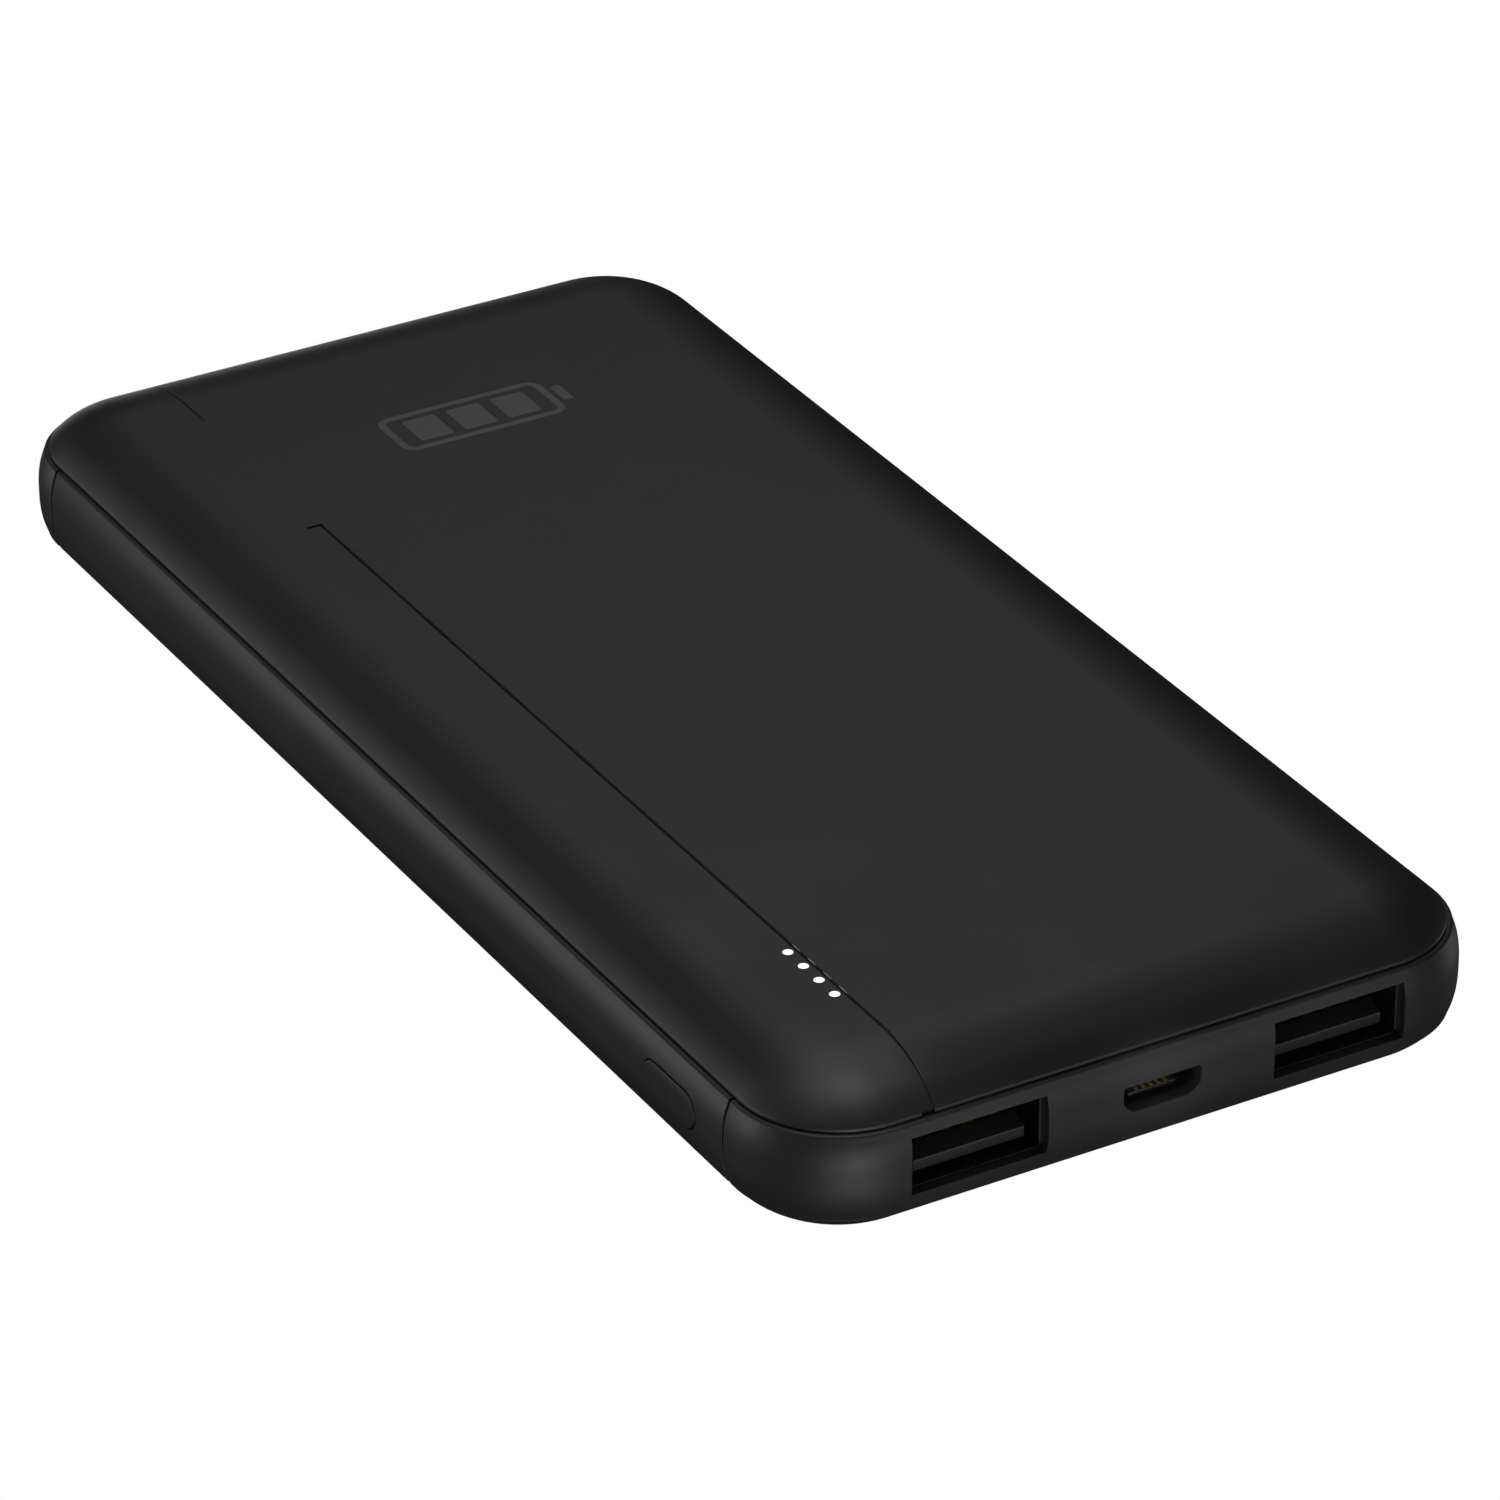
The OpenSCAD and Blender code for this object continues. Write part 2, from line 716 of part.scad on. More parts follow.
// A lead from the small board, level and then down to its pad on the circuit board
module lead(x) {
    level_y = lead_pad_y + lead_bend_r;
    bend_z = lead_z - lead_bend_r;
    translate([x, cell_board_y, lead_z]) rotate([90, 0, 0])
        cylinder(d = lead_d, h = cell_board_y - level_y);
    translate([x, level_y, bend_z]) rotate([90, 0, -90])
        rotate_extrude(angle = 90) translate([lead_bend_r, 0]) circle(d = lead_d);
    translate([x, lead_pad_y, board_top_z]) cylinder(d = lead_d, h = bend_z - board_top_z);
}

module positive_lead() {
    color("#a32020") lead(lead_x);
}

module negative_lead() {
    color("#161616") lead(-lead_x);
}

module board_screws() {
    color("#8f9297") for (x = [-screw_x, screw_x], y = screw_rows)
        translate([x, y, 0]) difference() {
            union() {
                translate([0, 0, board_top_z]) cylinder(r = screw_head_r, h = screw_head_h);
                translate([0, 0, floor_z + floor_t + 0.2])
                    cylinder(r = screw_r - 0.02, h = board_top_z - floor_z - floor_t);
            }
            for (turn = [0, 90]) rotate(turn)
                translate([0, 0, board_top_z + screw_head_h])
                    cube([1.8, 0.3, 0.6], center = true);
        }
}

top_cover();
bottom_cover();
left_rail();
right_rail();
front_cap();
rear_cap();
chassis();
power_button();
switch_plunger();
switch_body();
light_guide();
status_leds();
main_board();
usb_shell(usb_x[0]);  // usb_shell_left
usb_shell(usb_x[1]);  // usb_shell_right
usb_tongue(usb_x[0]);  // usb_tongue_left
usb_tongue(usb_x[1]);  // usb_tongue_right
usb_contacts(usb_x[0]);  // usb_contacts_left
usb_contacts(usb_x[1]);  // usb_contacts_right
micro_shell();
micro_tongue();
micro_contacts();
power_inductor();
controller_chip();
power_transistors();
capacitors();
resistors();
lower_cell();
upper_cell();
cell_tape();
top_pad();
bottom_pad();
cell_board();
cell_tabs();
positive_lead();
negative_lead();
board_screws();
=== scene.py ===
"""Looks of the pocket power bank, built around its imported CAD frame.

Outlines and sections are worked out in millimetres in the CAD frame, with +Z up and
the ports facing -Y, and become metres when a mesh is made.
"""

import json
import math

import bmesh
import bpy
from mathutils import Euler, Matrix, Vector


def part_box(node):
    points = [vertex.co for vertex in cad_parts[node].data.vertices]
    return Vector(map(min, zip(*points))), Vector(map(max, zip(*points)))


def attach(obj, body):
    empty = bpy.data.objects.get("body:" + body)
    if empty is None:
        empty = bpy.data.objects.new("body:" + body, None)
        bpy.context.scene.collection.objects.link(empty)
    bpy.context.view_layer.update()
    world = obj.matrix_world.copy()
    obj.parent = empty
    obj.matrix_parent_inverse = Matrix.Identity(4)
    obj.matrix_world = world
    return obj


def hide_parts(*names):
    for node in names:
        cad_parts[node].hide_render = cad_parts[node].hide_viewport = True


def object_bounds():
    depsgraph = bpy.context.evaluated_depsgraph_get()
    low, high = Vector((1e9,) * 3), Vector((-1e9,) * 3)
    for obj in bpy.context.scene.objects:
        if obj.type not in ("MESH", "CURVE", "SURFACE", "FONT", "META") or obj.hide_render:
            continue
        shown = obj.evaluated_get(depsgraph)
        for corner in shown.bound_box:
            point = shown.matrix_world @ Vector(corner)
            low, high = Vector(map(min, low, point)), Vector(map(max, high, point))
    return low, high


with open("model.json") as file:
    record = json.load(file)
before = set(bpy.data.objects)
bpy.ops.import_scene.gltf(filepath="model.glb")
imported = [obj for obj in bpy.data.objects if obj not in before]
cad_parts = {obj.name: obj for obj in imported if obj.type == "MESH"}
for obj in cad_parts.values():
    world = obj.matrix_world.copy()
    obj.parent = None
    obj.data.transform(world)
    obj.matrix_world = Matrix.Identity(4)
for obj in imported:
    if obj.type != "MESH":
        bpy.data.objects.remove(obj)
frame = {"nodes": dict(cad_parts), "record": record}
CAD_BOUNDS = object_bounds()
NODES = frame["nodes"]
MM = 0.001


def box_mm(node):
    """Lowest and highest corner of a CAD node, in millimetres."""
    low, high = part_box(node)
    return low / MM, high / MM


# ---------------------------------------------------------------- sizes

HALF_W = CAD_BOUNDS[1][0] / MM
HALF_L = CAD_BOUNDS[1][1] / MM
CASE_H = CAD_BOUNDS[1][2] / MM
MID_Z = CASE_H / 2
CORNER_R = 10.2

# Rounded edge of a cover
EDGE_RUN = 10.1
EDGE_DROP = 6.2
EDGE_POWER = 2.14
EDGE_STEPS = 40
COVER_LIP_H = 0.3
FOOT_DROP = 0.05
COVER_WALL = 1.5
CORNER_STEPS = 32

# Band
BAND_LOW, BAND_HIGH = box_mm("left_rail")
BAND_HALF_H = (BAND_HIGH.z - BAND_LOW.z) / 2
BAND_WALL = BAND_HIGH.x - BAND_LOW.x
RAIL_FRONT_Y = BAND_LOW.y
RAIL_REAR_Y = BAND_HIGH.y
CROWN_DEPTH = 0.8
CROWN_POWER = 2.8
CROWN_STEPS = 22
BAND_FILLET = 0.3
FILLET_STEPS = 5
SEAM_GAP = 0.12
JOINT_GAP = 0.24
JOINT_FILLET = 0.14

# Inside of a cover: its snap lip and shoulder
LIP_LOW = box_mm("top_cover")[0]
LIP_INSET = BAND_WALL + 1.35
LIP_WALL = 0.8
SHOULDER_INSET = 6
SHOULDER_DROP = 0.95


# ---------------------------------------------------------------- mesh helpers


def make_mesh(name, verts, faces):
    """A mesh object from points in millimetres, with doubled points merged."""
    mesh = bpy.data.meshes.new(name)
    mesh.from_pydata([Vector(v) * MM for v in verts], [], faces)
    piece = bpy.data.objects.new(name, mesh)
    bpy.context.scene.collection.objects.link(piece)
    bm = bmesh.new()
    bm.from_mesh(mesh)
    bmesh.ops.remove_doubles(bm, verts=bm.verts, dist=1e-4 * MM)
    bmesh.ops.dissolve_degenerate(bm, edges=bm.edges, dist=1e-5 * MM)
    bmesh.ops.recalc_face_normals(bm, faces=bm.faces)
    bm.to_mesh(mesh)
    bm.free()
    return piece


def shade(piece, sharp_deg=32):
    """Smooth shading that stays crisp at edges sharper than sharp_deg."""
    bm = bmesh.new()
    bm.from_mesh(piece.data)
    for face in bm.faces:
        face.smooth = True
    for edge in bm.edges:
        edge.smooth = edge.calc_face_angle(math.pi) < math.radians(sharp_deg)
    bm.to_mesh(piece.data)
    bm.free()
    return piece


def cut(piece, cutters):
    """Takes the cutters away from the piece, and removes them."""
    for cutter in cutters:
        tool = piece.modifiers.new("cut", "BOOLEAN")
        tool.operation = "DIFFERENCE"
        tool.solver = "EXACT"
        tool.object = cutter
    graph = bpy.context.evaluated_depsgraph_get()
    result = bpy.data.meshes.new_from_object(piece.evaluated_get(graph))
    piece.modifiers.clear()
    piece.data = result
    for cutter in cutters:
        bpy.data.objects.remove(cutter)
    return piece


def join(name, pieces):
    """One mesh out of several, in metres already."""
    bm = bmesh.new()
    for piece in pieces:
        bm.from_mesh(piece.data)
        bpy.data.objects.remove(piece)
    mesh = bpy.data.meshes.new(name)
    bm.to_mesh(mesh)
    bm.free()
    joined = bpy.data.objects.new(name, mesh)
    bpy.context.scene.collection.objects.link(joined)
    return joined


def finish_piece(piece, body, material, nodes=()):
    """Gives a piece its material and its body, and hides the CAD nodes that it stands for."""
    piece.data.materials.clear()
    piece.data.materials.append(material)
    shade(piece)
    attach(piece, body)
    if nodes:
        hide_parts(*nodes)
    return piece


# ---------------------------------------------------------------- outlines


def arc(cx, cy, r, start, end, steps):
    """Points on an arc, angles in degrees."""
    return [
        (cx + r * math.cos(math.radians(a)), cy + r * math.sin(math.radians(a)))
        for a in (start + (end - start) * i / steps for i in range(steps + 1))
    ]


def round_rect(w, h, r, steps=6):
    """Outline of a centred rectangle with round corners, anticlockwise."""
    x, y = w / 2 - r, h / 2 - r
    return (
        arc(x, -y, r, -90, 0, steps)
        + arc(x, y, r, 0, 90, steps)
        + arc(-x, y, r, 90, 180, steps)
        + arc(-x, -y, r, 180, 270, steps)
    )


def soften(corners, r, steps=4):
    """Rounds each corner of a polygon with a quadratic curve that starts r away."""
    points = []
    count = len(corners)
    for i, corner in enumerate(corners):
        here = Vector(corner)
        before = Vector(corners[i - 1]) - here
        after = Vector(corners[(i + 1) % count]) - here
        reach = min(r, before.length * 0.45, after.length * 0.45)
        a = here + before.normalized() * reach
        b = here + after.normalized() * reach
        for k in range(steps + 1):
            t = k / steps
            points.append(tuple(a * (1 - t) ** 2 + here * 2 * t * (1 - t) + b * t**2))
    return points


def loft(name, rings, closed_ends=True):
    """A skin over rings of points that all have the same count."""
    count = len(rings[0])
    verts = [p for ring in rings for p in ring]
    faces = []
    for i in range(len(rings) - 1):
        for j in range(count):
            k = (j + 1) % count
            a, b = i * count, (i + 1) * count
            faces.append((a + j, a + k, b + k, b + j))
    if closed_ends:
        faces.append(tuple(range(count))[::-1])
        last = (len(rings) - 1) * count
        faces.append(tuple(range(last, last + count)))
    return make_mesh(name, verts, faces)


def ring_stations():
    """Corner centre and outward direction at each step all round the case."""
    x, y = HALF_W - CORNER_R, HALF_L - CORNER_R
    stations = []
    for cx, cy, start in ((x, -y, -90), (x, y, 0), (-x, y, 90), (-x, -y, 180)):
        for ux, uy in arc(0, 0, 1, start, start + 90, CORNER_STEPS):
            stations.append((cx, cy, ux, uy))
    return stations


def cap_stations(side, joint_y):
    """The same along an end cap, from one vertical seam to the other."""
    x, y = HALF_W - CORNER_R, side * (HALF_L - CORNER_R)
    first = 0 if side > 0 else 180
    stations = [(side * x, joint_y, side, 0)]
    for cx, start in ((side * x, first), (-side * x, first + 90)):
        for ux, uy in arc(0, 0, 1, start, start + 90, CORNER_STEPS):
            stations.append((cx, y, ux, uy))
    stations.append((-side * x, joint_y, -side, 0))
    return stations


def place(station, point):
    """A section point, drawn outward from a corner centre, at a station."""
    cx, cy, ux, uy = station
    return (cx + point[0] * ux, cy + point[0] * uy, point[1])


# ---------------------------------------------------------------- sections


def edge_point(u, sunk=0.0):
    """Point of a cover's rounded edge at angle u: inset from the side, height."""
    c, s = max(math.cos(u), 0.0), math.sin(u)
    inset = EDGE_RUN * (1 - c ** (2 / EDGE_POWER)) + sunk * c
    return inset, CASE_H - EDGE_DROP + EDGE_DROP * s ** (2 / EDGE_POWER) - sunk * s


def edge_angle(z):
    """Angle u at which the rounded edge reaches height z."""
    t = (z - CASE_H + EDGE_DROP) / EDGE_DROP
    return math.asin(t ** (EDGE_POWER / 2))


def crown_x(h):
    """Outside of the band at height h above its middle, from a corner centre."""
    return CORNER_R - CROWN_DEPTH * (abs(h) / BAND_HALF_H) ** CROWN_POWER


def band_section():
    """Closed section of the band: crowned outside with softly rounded edges."""
    shoulder = BAND_HALF_H - BAND_FILLET
    tilt = math.degrees(math.atan(CROWN_POWER * CROWN_DEPTH / BAND_HALF_H))
    x = crown_x(shoulder) - BAND_FILLET * math.cos(math.radians(tilt))
    upper = arc(x, shoulder, BAND_FILLET, tilt, 90, FILLET_STEPS)
    heights = [shoulder * i / CROWN_STEPS for i in range(CROWN_STEPS)]
    half = [(crown_x(h), h) for h in heights]
    half += [(min(px, crown_x(shoulder)), min(pz, BAND_HALF_H)) for px, pz in upper]
    inner = CORNER_R - BAND_WALL
    outside = [(px, -pz) for px, pz in reversed(half[1:])] + half
    outline = [(inner, -BAND_HALF_H)] + outside + [(inner, BAND_HALF_H)]
    return [(px, MID_Z + pz) for px, pz in outline]


def cover_profile():
    """Open outline of a cover's rim, from the middle of its flat outside, over the
    rounded edge, round the foot and back to the middle of its inside."""
    lip_top = MID_Z + BAND_HALF_H + SEAM_GAP + COVER_LIP_H
    foot_z = lip_top - COVER_LIP_H - FOOT_DROP
    first = edge_angle(lip_top)
    steps = [first + (math.pi / 2 - first) * i / EDGE_STEPS for i in range(EDGE_STEPS + 1)]
    edge = [edge_point(u) for u in reversed(steps)]
    outside = [(CORNER_R - inset, z) for inset, z in edge]
    foot_x = outside[-1][0]
    soft = 0.06
    foot = [
        (foot_x + soft * 0.5, lip_top - soft),
        (foot_x + soft * 0.5, foot_z + soft),
        (foot_x - soft * 0.5, foot_z),
    ]
    lip_outer = CORNER_R - LIP_INSET
    inner_top = CASE_H - COVER_WALL
    inside = [
        (lip_outer, foot_z),
        (lip_outer, LIP_LOW.z + 0.15),
        (lip_outer - 0.15, LIP_LOW.z),
        (lip_outer - LIP_WALL, LIP_LOW.z),
        (lip_outer - LIP_WALL, inner_top - SHOULDER_DROP),
        (CORNER_R - SHOULDER_INSET, inner_top),
        (0.0, inner_top),
    ]
    return [(0.0, CASE_H)] + outside + foot + inside


def cover_mesh(name):
    """A cover with its flat face up, closed inside and out."""
    rings = [[place(s, p) for s in ring_stations()] for p in cover_profile()]
    return loft(name, rings)


# ---------------------------------------------------------------- materials


def node_material(name, colour, roughness, metallic=0.0):
    """A principled material, its node tree and its shader node."""
    material = bpy.data.materials.new(name)
    material.use_nodes = True
    tree = material.node_tree
    shader = tree.nodes["Principled BSDF"]
    shader.inputs["Base Color"].default_value = (*colour, 1)
    shader.inputs["Roughness"].default_value = roughness
    shader.inputs["Metallic"].default_value = metallic
    return material, tree, shader


def add_noise(tree, scale, detail=3.0):
    """Noise in object space, at so many features a metre."""
    coords = tree.nodes.new("ShaderNodeTexCoord")
    noise = tree.nodes.new("ShaderNodeTexNoise")
    noise.inputs["Scale"].default_value = scale
    noise.inputs["Detail"].default_value = detail
    tree.links.new(coords.outputs["Object"], noise.inputs["Vector"])
    return noise.outputs["Fac"]


def remap(tree, value, low, high):
    """Noise between 0.3 and 0.7 spread over low to high."""
    node = tree.nodes.new("ShaderNodeMapRange")
    node.inputs["From Min"].default_value = 0.3
    node.inputs["From Max"].default_value = 0.7
    node.inputs["To Min"].default_value = low
    node.inputs["To Max"].default_value = high
    tree.links.new(value, node.inputs["Value"])
    return node.outputs["Result"]


def vary_colour(tree, shader, value, dark, light):
    """Base colour that follows noise from a dark tone to a light one."""
    ramp = tree.nodes.new("ShaderNodeValToRGB")
    ramp.color_ramp.elements[0].position = 0.3
    ramp.color_ramp.elements[0].color = (*dark, 1)
    ramp.color_ramp.elements[1].position = 0.7
    ramp.color_ramp.elements[1].color = (*light, 1)
    tree.links.new(value, ramp.inputs["Fac"])
    tree.links.new(ramp.outputs["Color"], shader.inputs["Base Color"])


def add_bump(tree, shader, height, distance):
    """Relief of so many metres on the surface."""
    bump = tree.nodes.new("ShaderNodeBump")
    bump.inputs["Strength"].default_value = 1.0
    bump.inputs["Distance"].default_value = distance
    tree.links.new(height, bump.inputs["Height"])
    tree.links.new(bump.outputs["Normal"], shader.inputs["Normal"])


def moulded_plastic(name, colour, roughness, grain=0.000004, grain_scale=5200):
    """Moulded plastic with a fine eroded grain and faint patches of gloss."""
    material, tree, shader = node_material(name, colour, roughness)
    patches = add_noise(tree, 90, 4)
    fine = add_noise(tree, grain_scale, 2)
    low = tuple(c * 0.93 for c in colour)
    high = tuple(c * 1.07 for c in colour)
    vary_colour(tree, shader, patches, low, high)
    gloss = remap(tree, patches, roughness - 0.02, roughness + 0.02)
    tree.links.new(gloss, shader.inputs["Roughness"])
    add_bump(tree, shader, fine, grain)
    return material


def metal(name, colour, roughness, brush_scale=2500, metallic=1.0):
    """Plated metal with faint rolling marks."""
    material, tree, shader = node_material(name, colour, roughness, metallic)
    marks = add_noise(tree, brush_scale, 3)
    gloss = remap(tree, marks, roughness - 0.06, roughness + 0.08)
    tree.links.new(gloss, shader.inputs["Roughness"])
    add_bump(tree, shader, marks, 0.000003)
    return material


def glowing(name, colour, strength):
    """Clear plastic lit from below, and the glow that paints glints beside the indicator
    lights.
    """
    material, tree, shader = node_material(name, colour, 0.25)
    shader.inputs["Emission Color"].default_value = (*colour, 1)
    shader.inputs["Emission Strength"].default_value = strength
    cloud = add_noise(tree, 1500, 2)
    vary_colour(tree, shader, cloud, tuple(c * 0.96 for c in colour), colour)
    return material


CASE_COLOUR = (0.0215, 0.0215, 0.022)

MATERIALS = {
    "cover_plastic": moulded_plastic("cover_plastic", CASE_COLOUR, 0.5),
    "band_plastic": moulded_plastic("band_plastic", CASE_COLOUR, 0.5),
    "button_plastic": moulded_plastic("button_plastic", (0.019, 0.019, 0.0195), 0.5),
    "chassis_plastic": moulded_plastic("chassis_plastic", (0.26, 0.27, 0.28), 0.5),
    "dark_moulding": moulded_plastic("dark_moulding", (0.012, 0.012, 0.013), 0.4),
    "tongue_resin": moulded_plastic("tongue_resin", (0.024, 0.021, 0.0195), 0.5),
    "pale_moulding": moulded_plastic("pale_moulding", (0.55, 0.55, 0.53), 0.45),
    "light_guide": glowing("light_guide", (0.97, 0.98, 1.0), 1.02),
    # painted glint: a faint glow that stands in for the indicator lights' reflection in the
    # line
    "painted_led_glint": glowing("painted_led_glint", (0.5, 0.51, 0.52), 0.1),
    "print_ink": moulded_plastic("print_ink", (0.135, 0.135, 0.137), 0.5),
    "led_package": moulded_plastic("led_package", (0.9, 0.82, 0.5), 0.3),
    "circuit_board": moulded_plastic("circuit_board", (0.015, 0.11, 0.05), 0.3),
    "port_steel": metal("port_steel", (0.13, 0.13, 0.135), 0.36),
    "gold_contact": metal("gold_contact", (0.6, 0.44, 0.12), 0.28, metallic=0.78),
    "ferrite": moulded_plastic("ferrite", (0.06, 0.06, 0.065), 0.7),
    "chip_resin": moulded_plastic("chip_resin", (0.015, 0.015, 0.016), 0.45),
    "capacitor_can": metal("capacitor_can", (0.62, 0.63, 0.64), 0.3),
    "cell_foil": metal("cell_foil", (0.5, 0.51, 0.52), 0.38, 900),
    "tape": moulded_plastic("tape", (0.62, 0.52, 0.14), 0.5),
    "foam": moulded_plastic("foam", (0.05, 0.05, 0.05), 0.9, 0.00004, 2400),
    "nickel_tab": metal("nickel_tab", (0.6, 0.59, 0.55), 0.35),
    "red_lead": moulded_plastic("red_lead", (0.4, 0.02, 0.02), 0.45),
    "black_lead": moulded_plastic("black_lead", (0.01, 0.01, 0.01), 0.45),
    "screw_steel": metal("screw_steel", (0.45, 0.46, 0.48), 0.35),
}


# ---------------------------------------------------------------- covers

# Engraved line: its floor's share of its width, and how it narrows down the ends
LINE_X = -20.3
LINE_LEAN = 0.35
LINE_W = 0.4
LINE_D = 0.25
LINE_FLOOR = 0.25
LINE_TAPER = 0.6
LINE_TAPER_RATE = 1.6
LINE_PROUD = 0.08
LINE_STOP_Y = 35.2
LINE_HOOK = 1.4
LINE_RESTART_Y = 58.5

NOTCH_W = 1.25
NOTCH_SOFT = 0.08
NOTCH_REACH = 1.5

# Indicator lights, and the painted glints of their light on the far side of the line
LIGHT_LOW, LIGHT_HIGH = box_mm("light_guide")
LIGHT_X = (LIGHT_LOW.x + LIGHT_HIGH.x) / 2
LIGHT_D = 0.9
LIGHT_CLEARANCE = 0.02
LIGHT_COUNT = 4
LIGHT_PITCH = 2.5
LIGHT_MID_Y = (LIGHT_LOW.y + LIGHT_HIGH.y) / 2
LIGHT_YS = [
    LIGHT_MID_Y + (i - (LIGHT_COUNT - 1) / 2) * LIGHT_PITCH for i in range(LIGHT_COUNT)
]
GLINT_L = 1.4
GLINT_SHIFT = 0.28
GLINT_DROP = 0.06

# Depth by which the flat top lies lower, so that the print stays within the case
PRINT_T = 0.012


def groove(name, path):
    """Tapered cutter along a path of (point, surface normal, side, side scale)."""
    rings = []
    for point, normal, side, scale in path:
        half = LINE_W / 2 * scale
        slope = half * (1 - LINE_FLOOR) / (LINE_D * scale)
        top = point + normal * LINE_PROUD
        low = point - normal * LINE_D * scale
        spread = side * (half + slope * LINE_PROUD)
        floor = side * half * LINE_FLOOR
        rings.append([top - spread, top + spread, low + floor, low - floor])
    return loft(name, rings)


def end_path(side_y, start_z):
    """Path of the line from a cover's foot up over an end to the flat top."""
    path = []
    first = edge_angle(start_z)
    for i in range(EDGE_STEPS + 1):
        u = first + (math.pi / 2 - first) * i / EDGE_STEPS
        inset, z = edge_point(u)
        normal = Vector((0, side_y * math.cos(u), math.sin(u)))
        down = 1 - i / EDGE_STEPS
        x = LINE_X - LINE_LEAN * down if side_y < 0 else LINE_X
        point = Vector((x, side_y * (HALF_L - inset), z))
        scale = 1 - LINE_TAPER * min(1, down * LINE_TAPER_RATE)
        path.append((point, normal, Vector((1, 0, 0)), scale))
    return path


def line_cutters():
    """Cutters for the front stretch with its hook and for the rear stretch."""
    up = Vector((0, 0, 1))
    across, along = Vector((1, 0, 0)), Vector((0, 1, 0))
    start_z = MID_Z + BAND_HALF_H + SEAM_GAP + 0.35
    front = end_path(-1, start_z)
    turn = Vector((LINE_X, LINE_STOP_Y, CASE_H))
    front.append((turn, up, (across + along).normalized(), math.sqrt(2)))
    front.append((turn - across * LINE_HOOK, up, along, 1.0))
    rear = end_path(1, start_z)
    rear.append((Vector((LINE_X, LINE_RESTART_Y, CASE_H)), up, across, 1.0))
    return [groove("front_line", front), groove("rear_line", rear)]


def notch_cutter():
    """The pry notch in the cover's foot, to the left of the line's front end."""
    low_z = MID_Z + BAND_HALF_H - 1
    high_z = MID_Z + BAND_HALF_H + SEAM_GAP + COVER_LIP_H + 0.02
    right = LINE_X - LINE_LEAN + 0.1
    left = right - NOTCH_W
    outline = [
        (left, low_z),
        (right, low_z),
        (right, high_z - NOTCH_SOFT),
        (right - NOTCH_SOFT, high_z),
        (left + NOTCH_SOFT, high_z),
        (left, high_z - NOTCH_SOFT),
    ]
    rings = [[(x, y, z) for x, z in outline] for y in (-HALF_L - 1, -HALF_L + NOTCH_REACH)]
    return loft("pry_notch", rings)


def light_cutter(y):
    """A round hole with a softly countersunk rim."""
    r = LIGHT_D / 2 + LIGHT_CLEARANCE
    rings = []
    for z, grow in ((CASE_H - 2, 0), (CASE_H - 0.05, 0), (CASE_H, 0.03), (CASE_H + 0.5, 0.03)):
        outline = arc(LIGHT_X, y, r + grow, 0, 348.75, 31)
        rings.append([(px, py, z) for px, py in outline])
    return loft("light_hole", rings)


top_cover = cover_mesh("top_cover_shell")
for vertex in top_cover.data.vertices:
    vertex.co.z = min(vertex.co.z, (CASE_H - PRINT_T) * MM)
cut(top_cover, line_cutters() + [notch_cutter()] + [light_cutter(y) for y in LIGHT_YS])
finish_piece(top_cover, "case", MATERIALS["cover_plastic"], ["top_cover"])


def painted_led_glints():
    """Painted glints on the far side of the line beside each indicator light, in place of their
    reflection.
    """
    slivers = []
    for y in LIGHT_YS:
        rings = []
        for k in range(7):
            along = y + GLINT_SHIFT + GLINT_L * (k / 6 - 0.5)
            spread = 0.04 * math.sin(math.pi * (0.08 + 0.84 * k / 6)) + 0.004
            ring = []
            for out, down in ((0, -spread), (0, spread), (0.01, spread), (0.01, -spread)):
                drop = GLINT_DROP + down
                x = LINE_X + LINE_W / 2 * (1 - (1 - LINE_FLOOR) * drop / LINE_D) - out
                ring.append((x, along, CASE_H - PRINT_T - drop))
            rings.append(ring)
        slivers.append(loft("sliver", rings))
    return join("painted_led_glints", slivers)


# painted glints beside the indicator lights: glowing slivers that stand for reflected light
finish_piece(painted_led_glints(), "case", MATERIALS["painted_led_glint"])


# ---------------------------------------------------------------- printed mark

MARK_X = 1.5
MARK_Y = 47
MARK_L = 17
MARK_H = 7
MARK_LINE = 0.7


def plate(name, outline, hole=None):
    """A thin printed shape on the flat top, with a hole where one is given."""
    low_z, high_z = CASE_H - PRINT_T - 0.02, CASE_H - 0.001
    at = [(MARK_X + px, MARK_Y + py) for px, py in outline]
    if hole is None:
        return loft(name, [[(x, y, z) for x, y in at] for z in (low_z, high_z)])
    inside = [(MARK_X + px, MARK_Y + py) for px, py in hole]
    rings = [
        [(x, y, low_z) for x, y in at],
        [(x, y, high_z) for x, y in at],
        [(x, y, high_z) for x, y in inside],
        [(x, y, low_z) for x, y in inside],
    ]
    return loft(name, rings + rings[:1], closed_ends=False)


def battery_mark():
    """A plain battery sign: a rounded outline with its terminal and three bars."""
    frame_out = round_rect(MARK_L, MARK_H, 1.4)
    frame_in = round_rect(MARK_L - 2 * MARK_LINE, MARK_H - 2 * MARK_LINE, 0.7)
    shapes = [plate("frame", frame_out, frame_in)]
    knob = round_rect(1.0, 3.0, 0.35)
    shapes.append(plate("knob", [(px + MARK_L / 2 + 1.0, py) for px, py in knob]))
    bar = round_rect(3.4, MARK_H - 4 * MARK_LINE, 0.3)
    for i in range(3):
        shapes.append(plate("bar", [(px + (i - 1) * 4.6, py) for px, py in bar]))
    return join("battery_mark", shapes)


finish_piece(battery_mark(), "case", MATERIALS["print_ink"])

bottom_cover = cover_mesh("bottom_cover_shell")
for vertex in bottom_cover.data.vertices:
    vertex.co.z = CASE_H * MM - vertex.co.z
bottom_cover.data.flip_normals()
finish_piece(
    bottom_cover, "case", MATERIALS["cover_plastic"], ["bottom_cover"]
)


# ---------------------------------------------------------------- band

BUTTON_LOW, BUTTON_HIGH = box_mm("power_button")
BUTTON_Y = (BUTTON_LOW.y + BUTTON_HIGH.y) / 2
BUTTON_L = 8.5
BUTTON_H = 3.3
BUTTON_GAP = 0.12


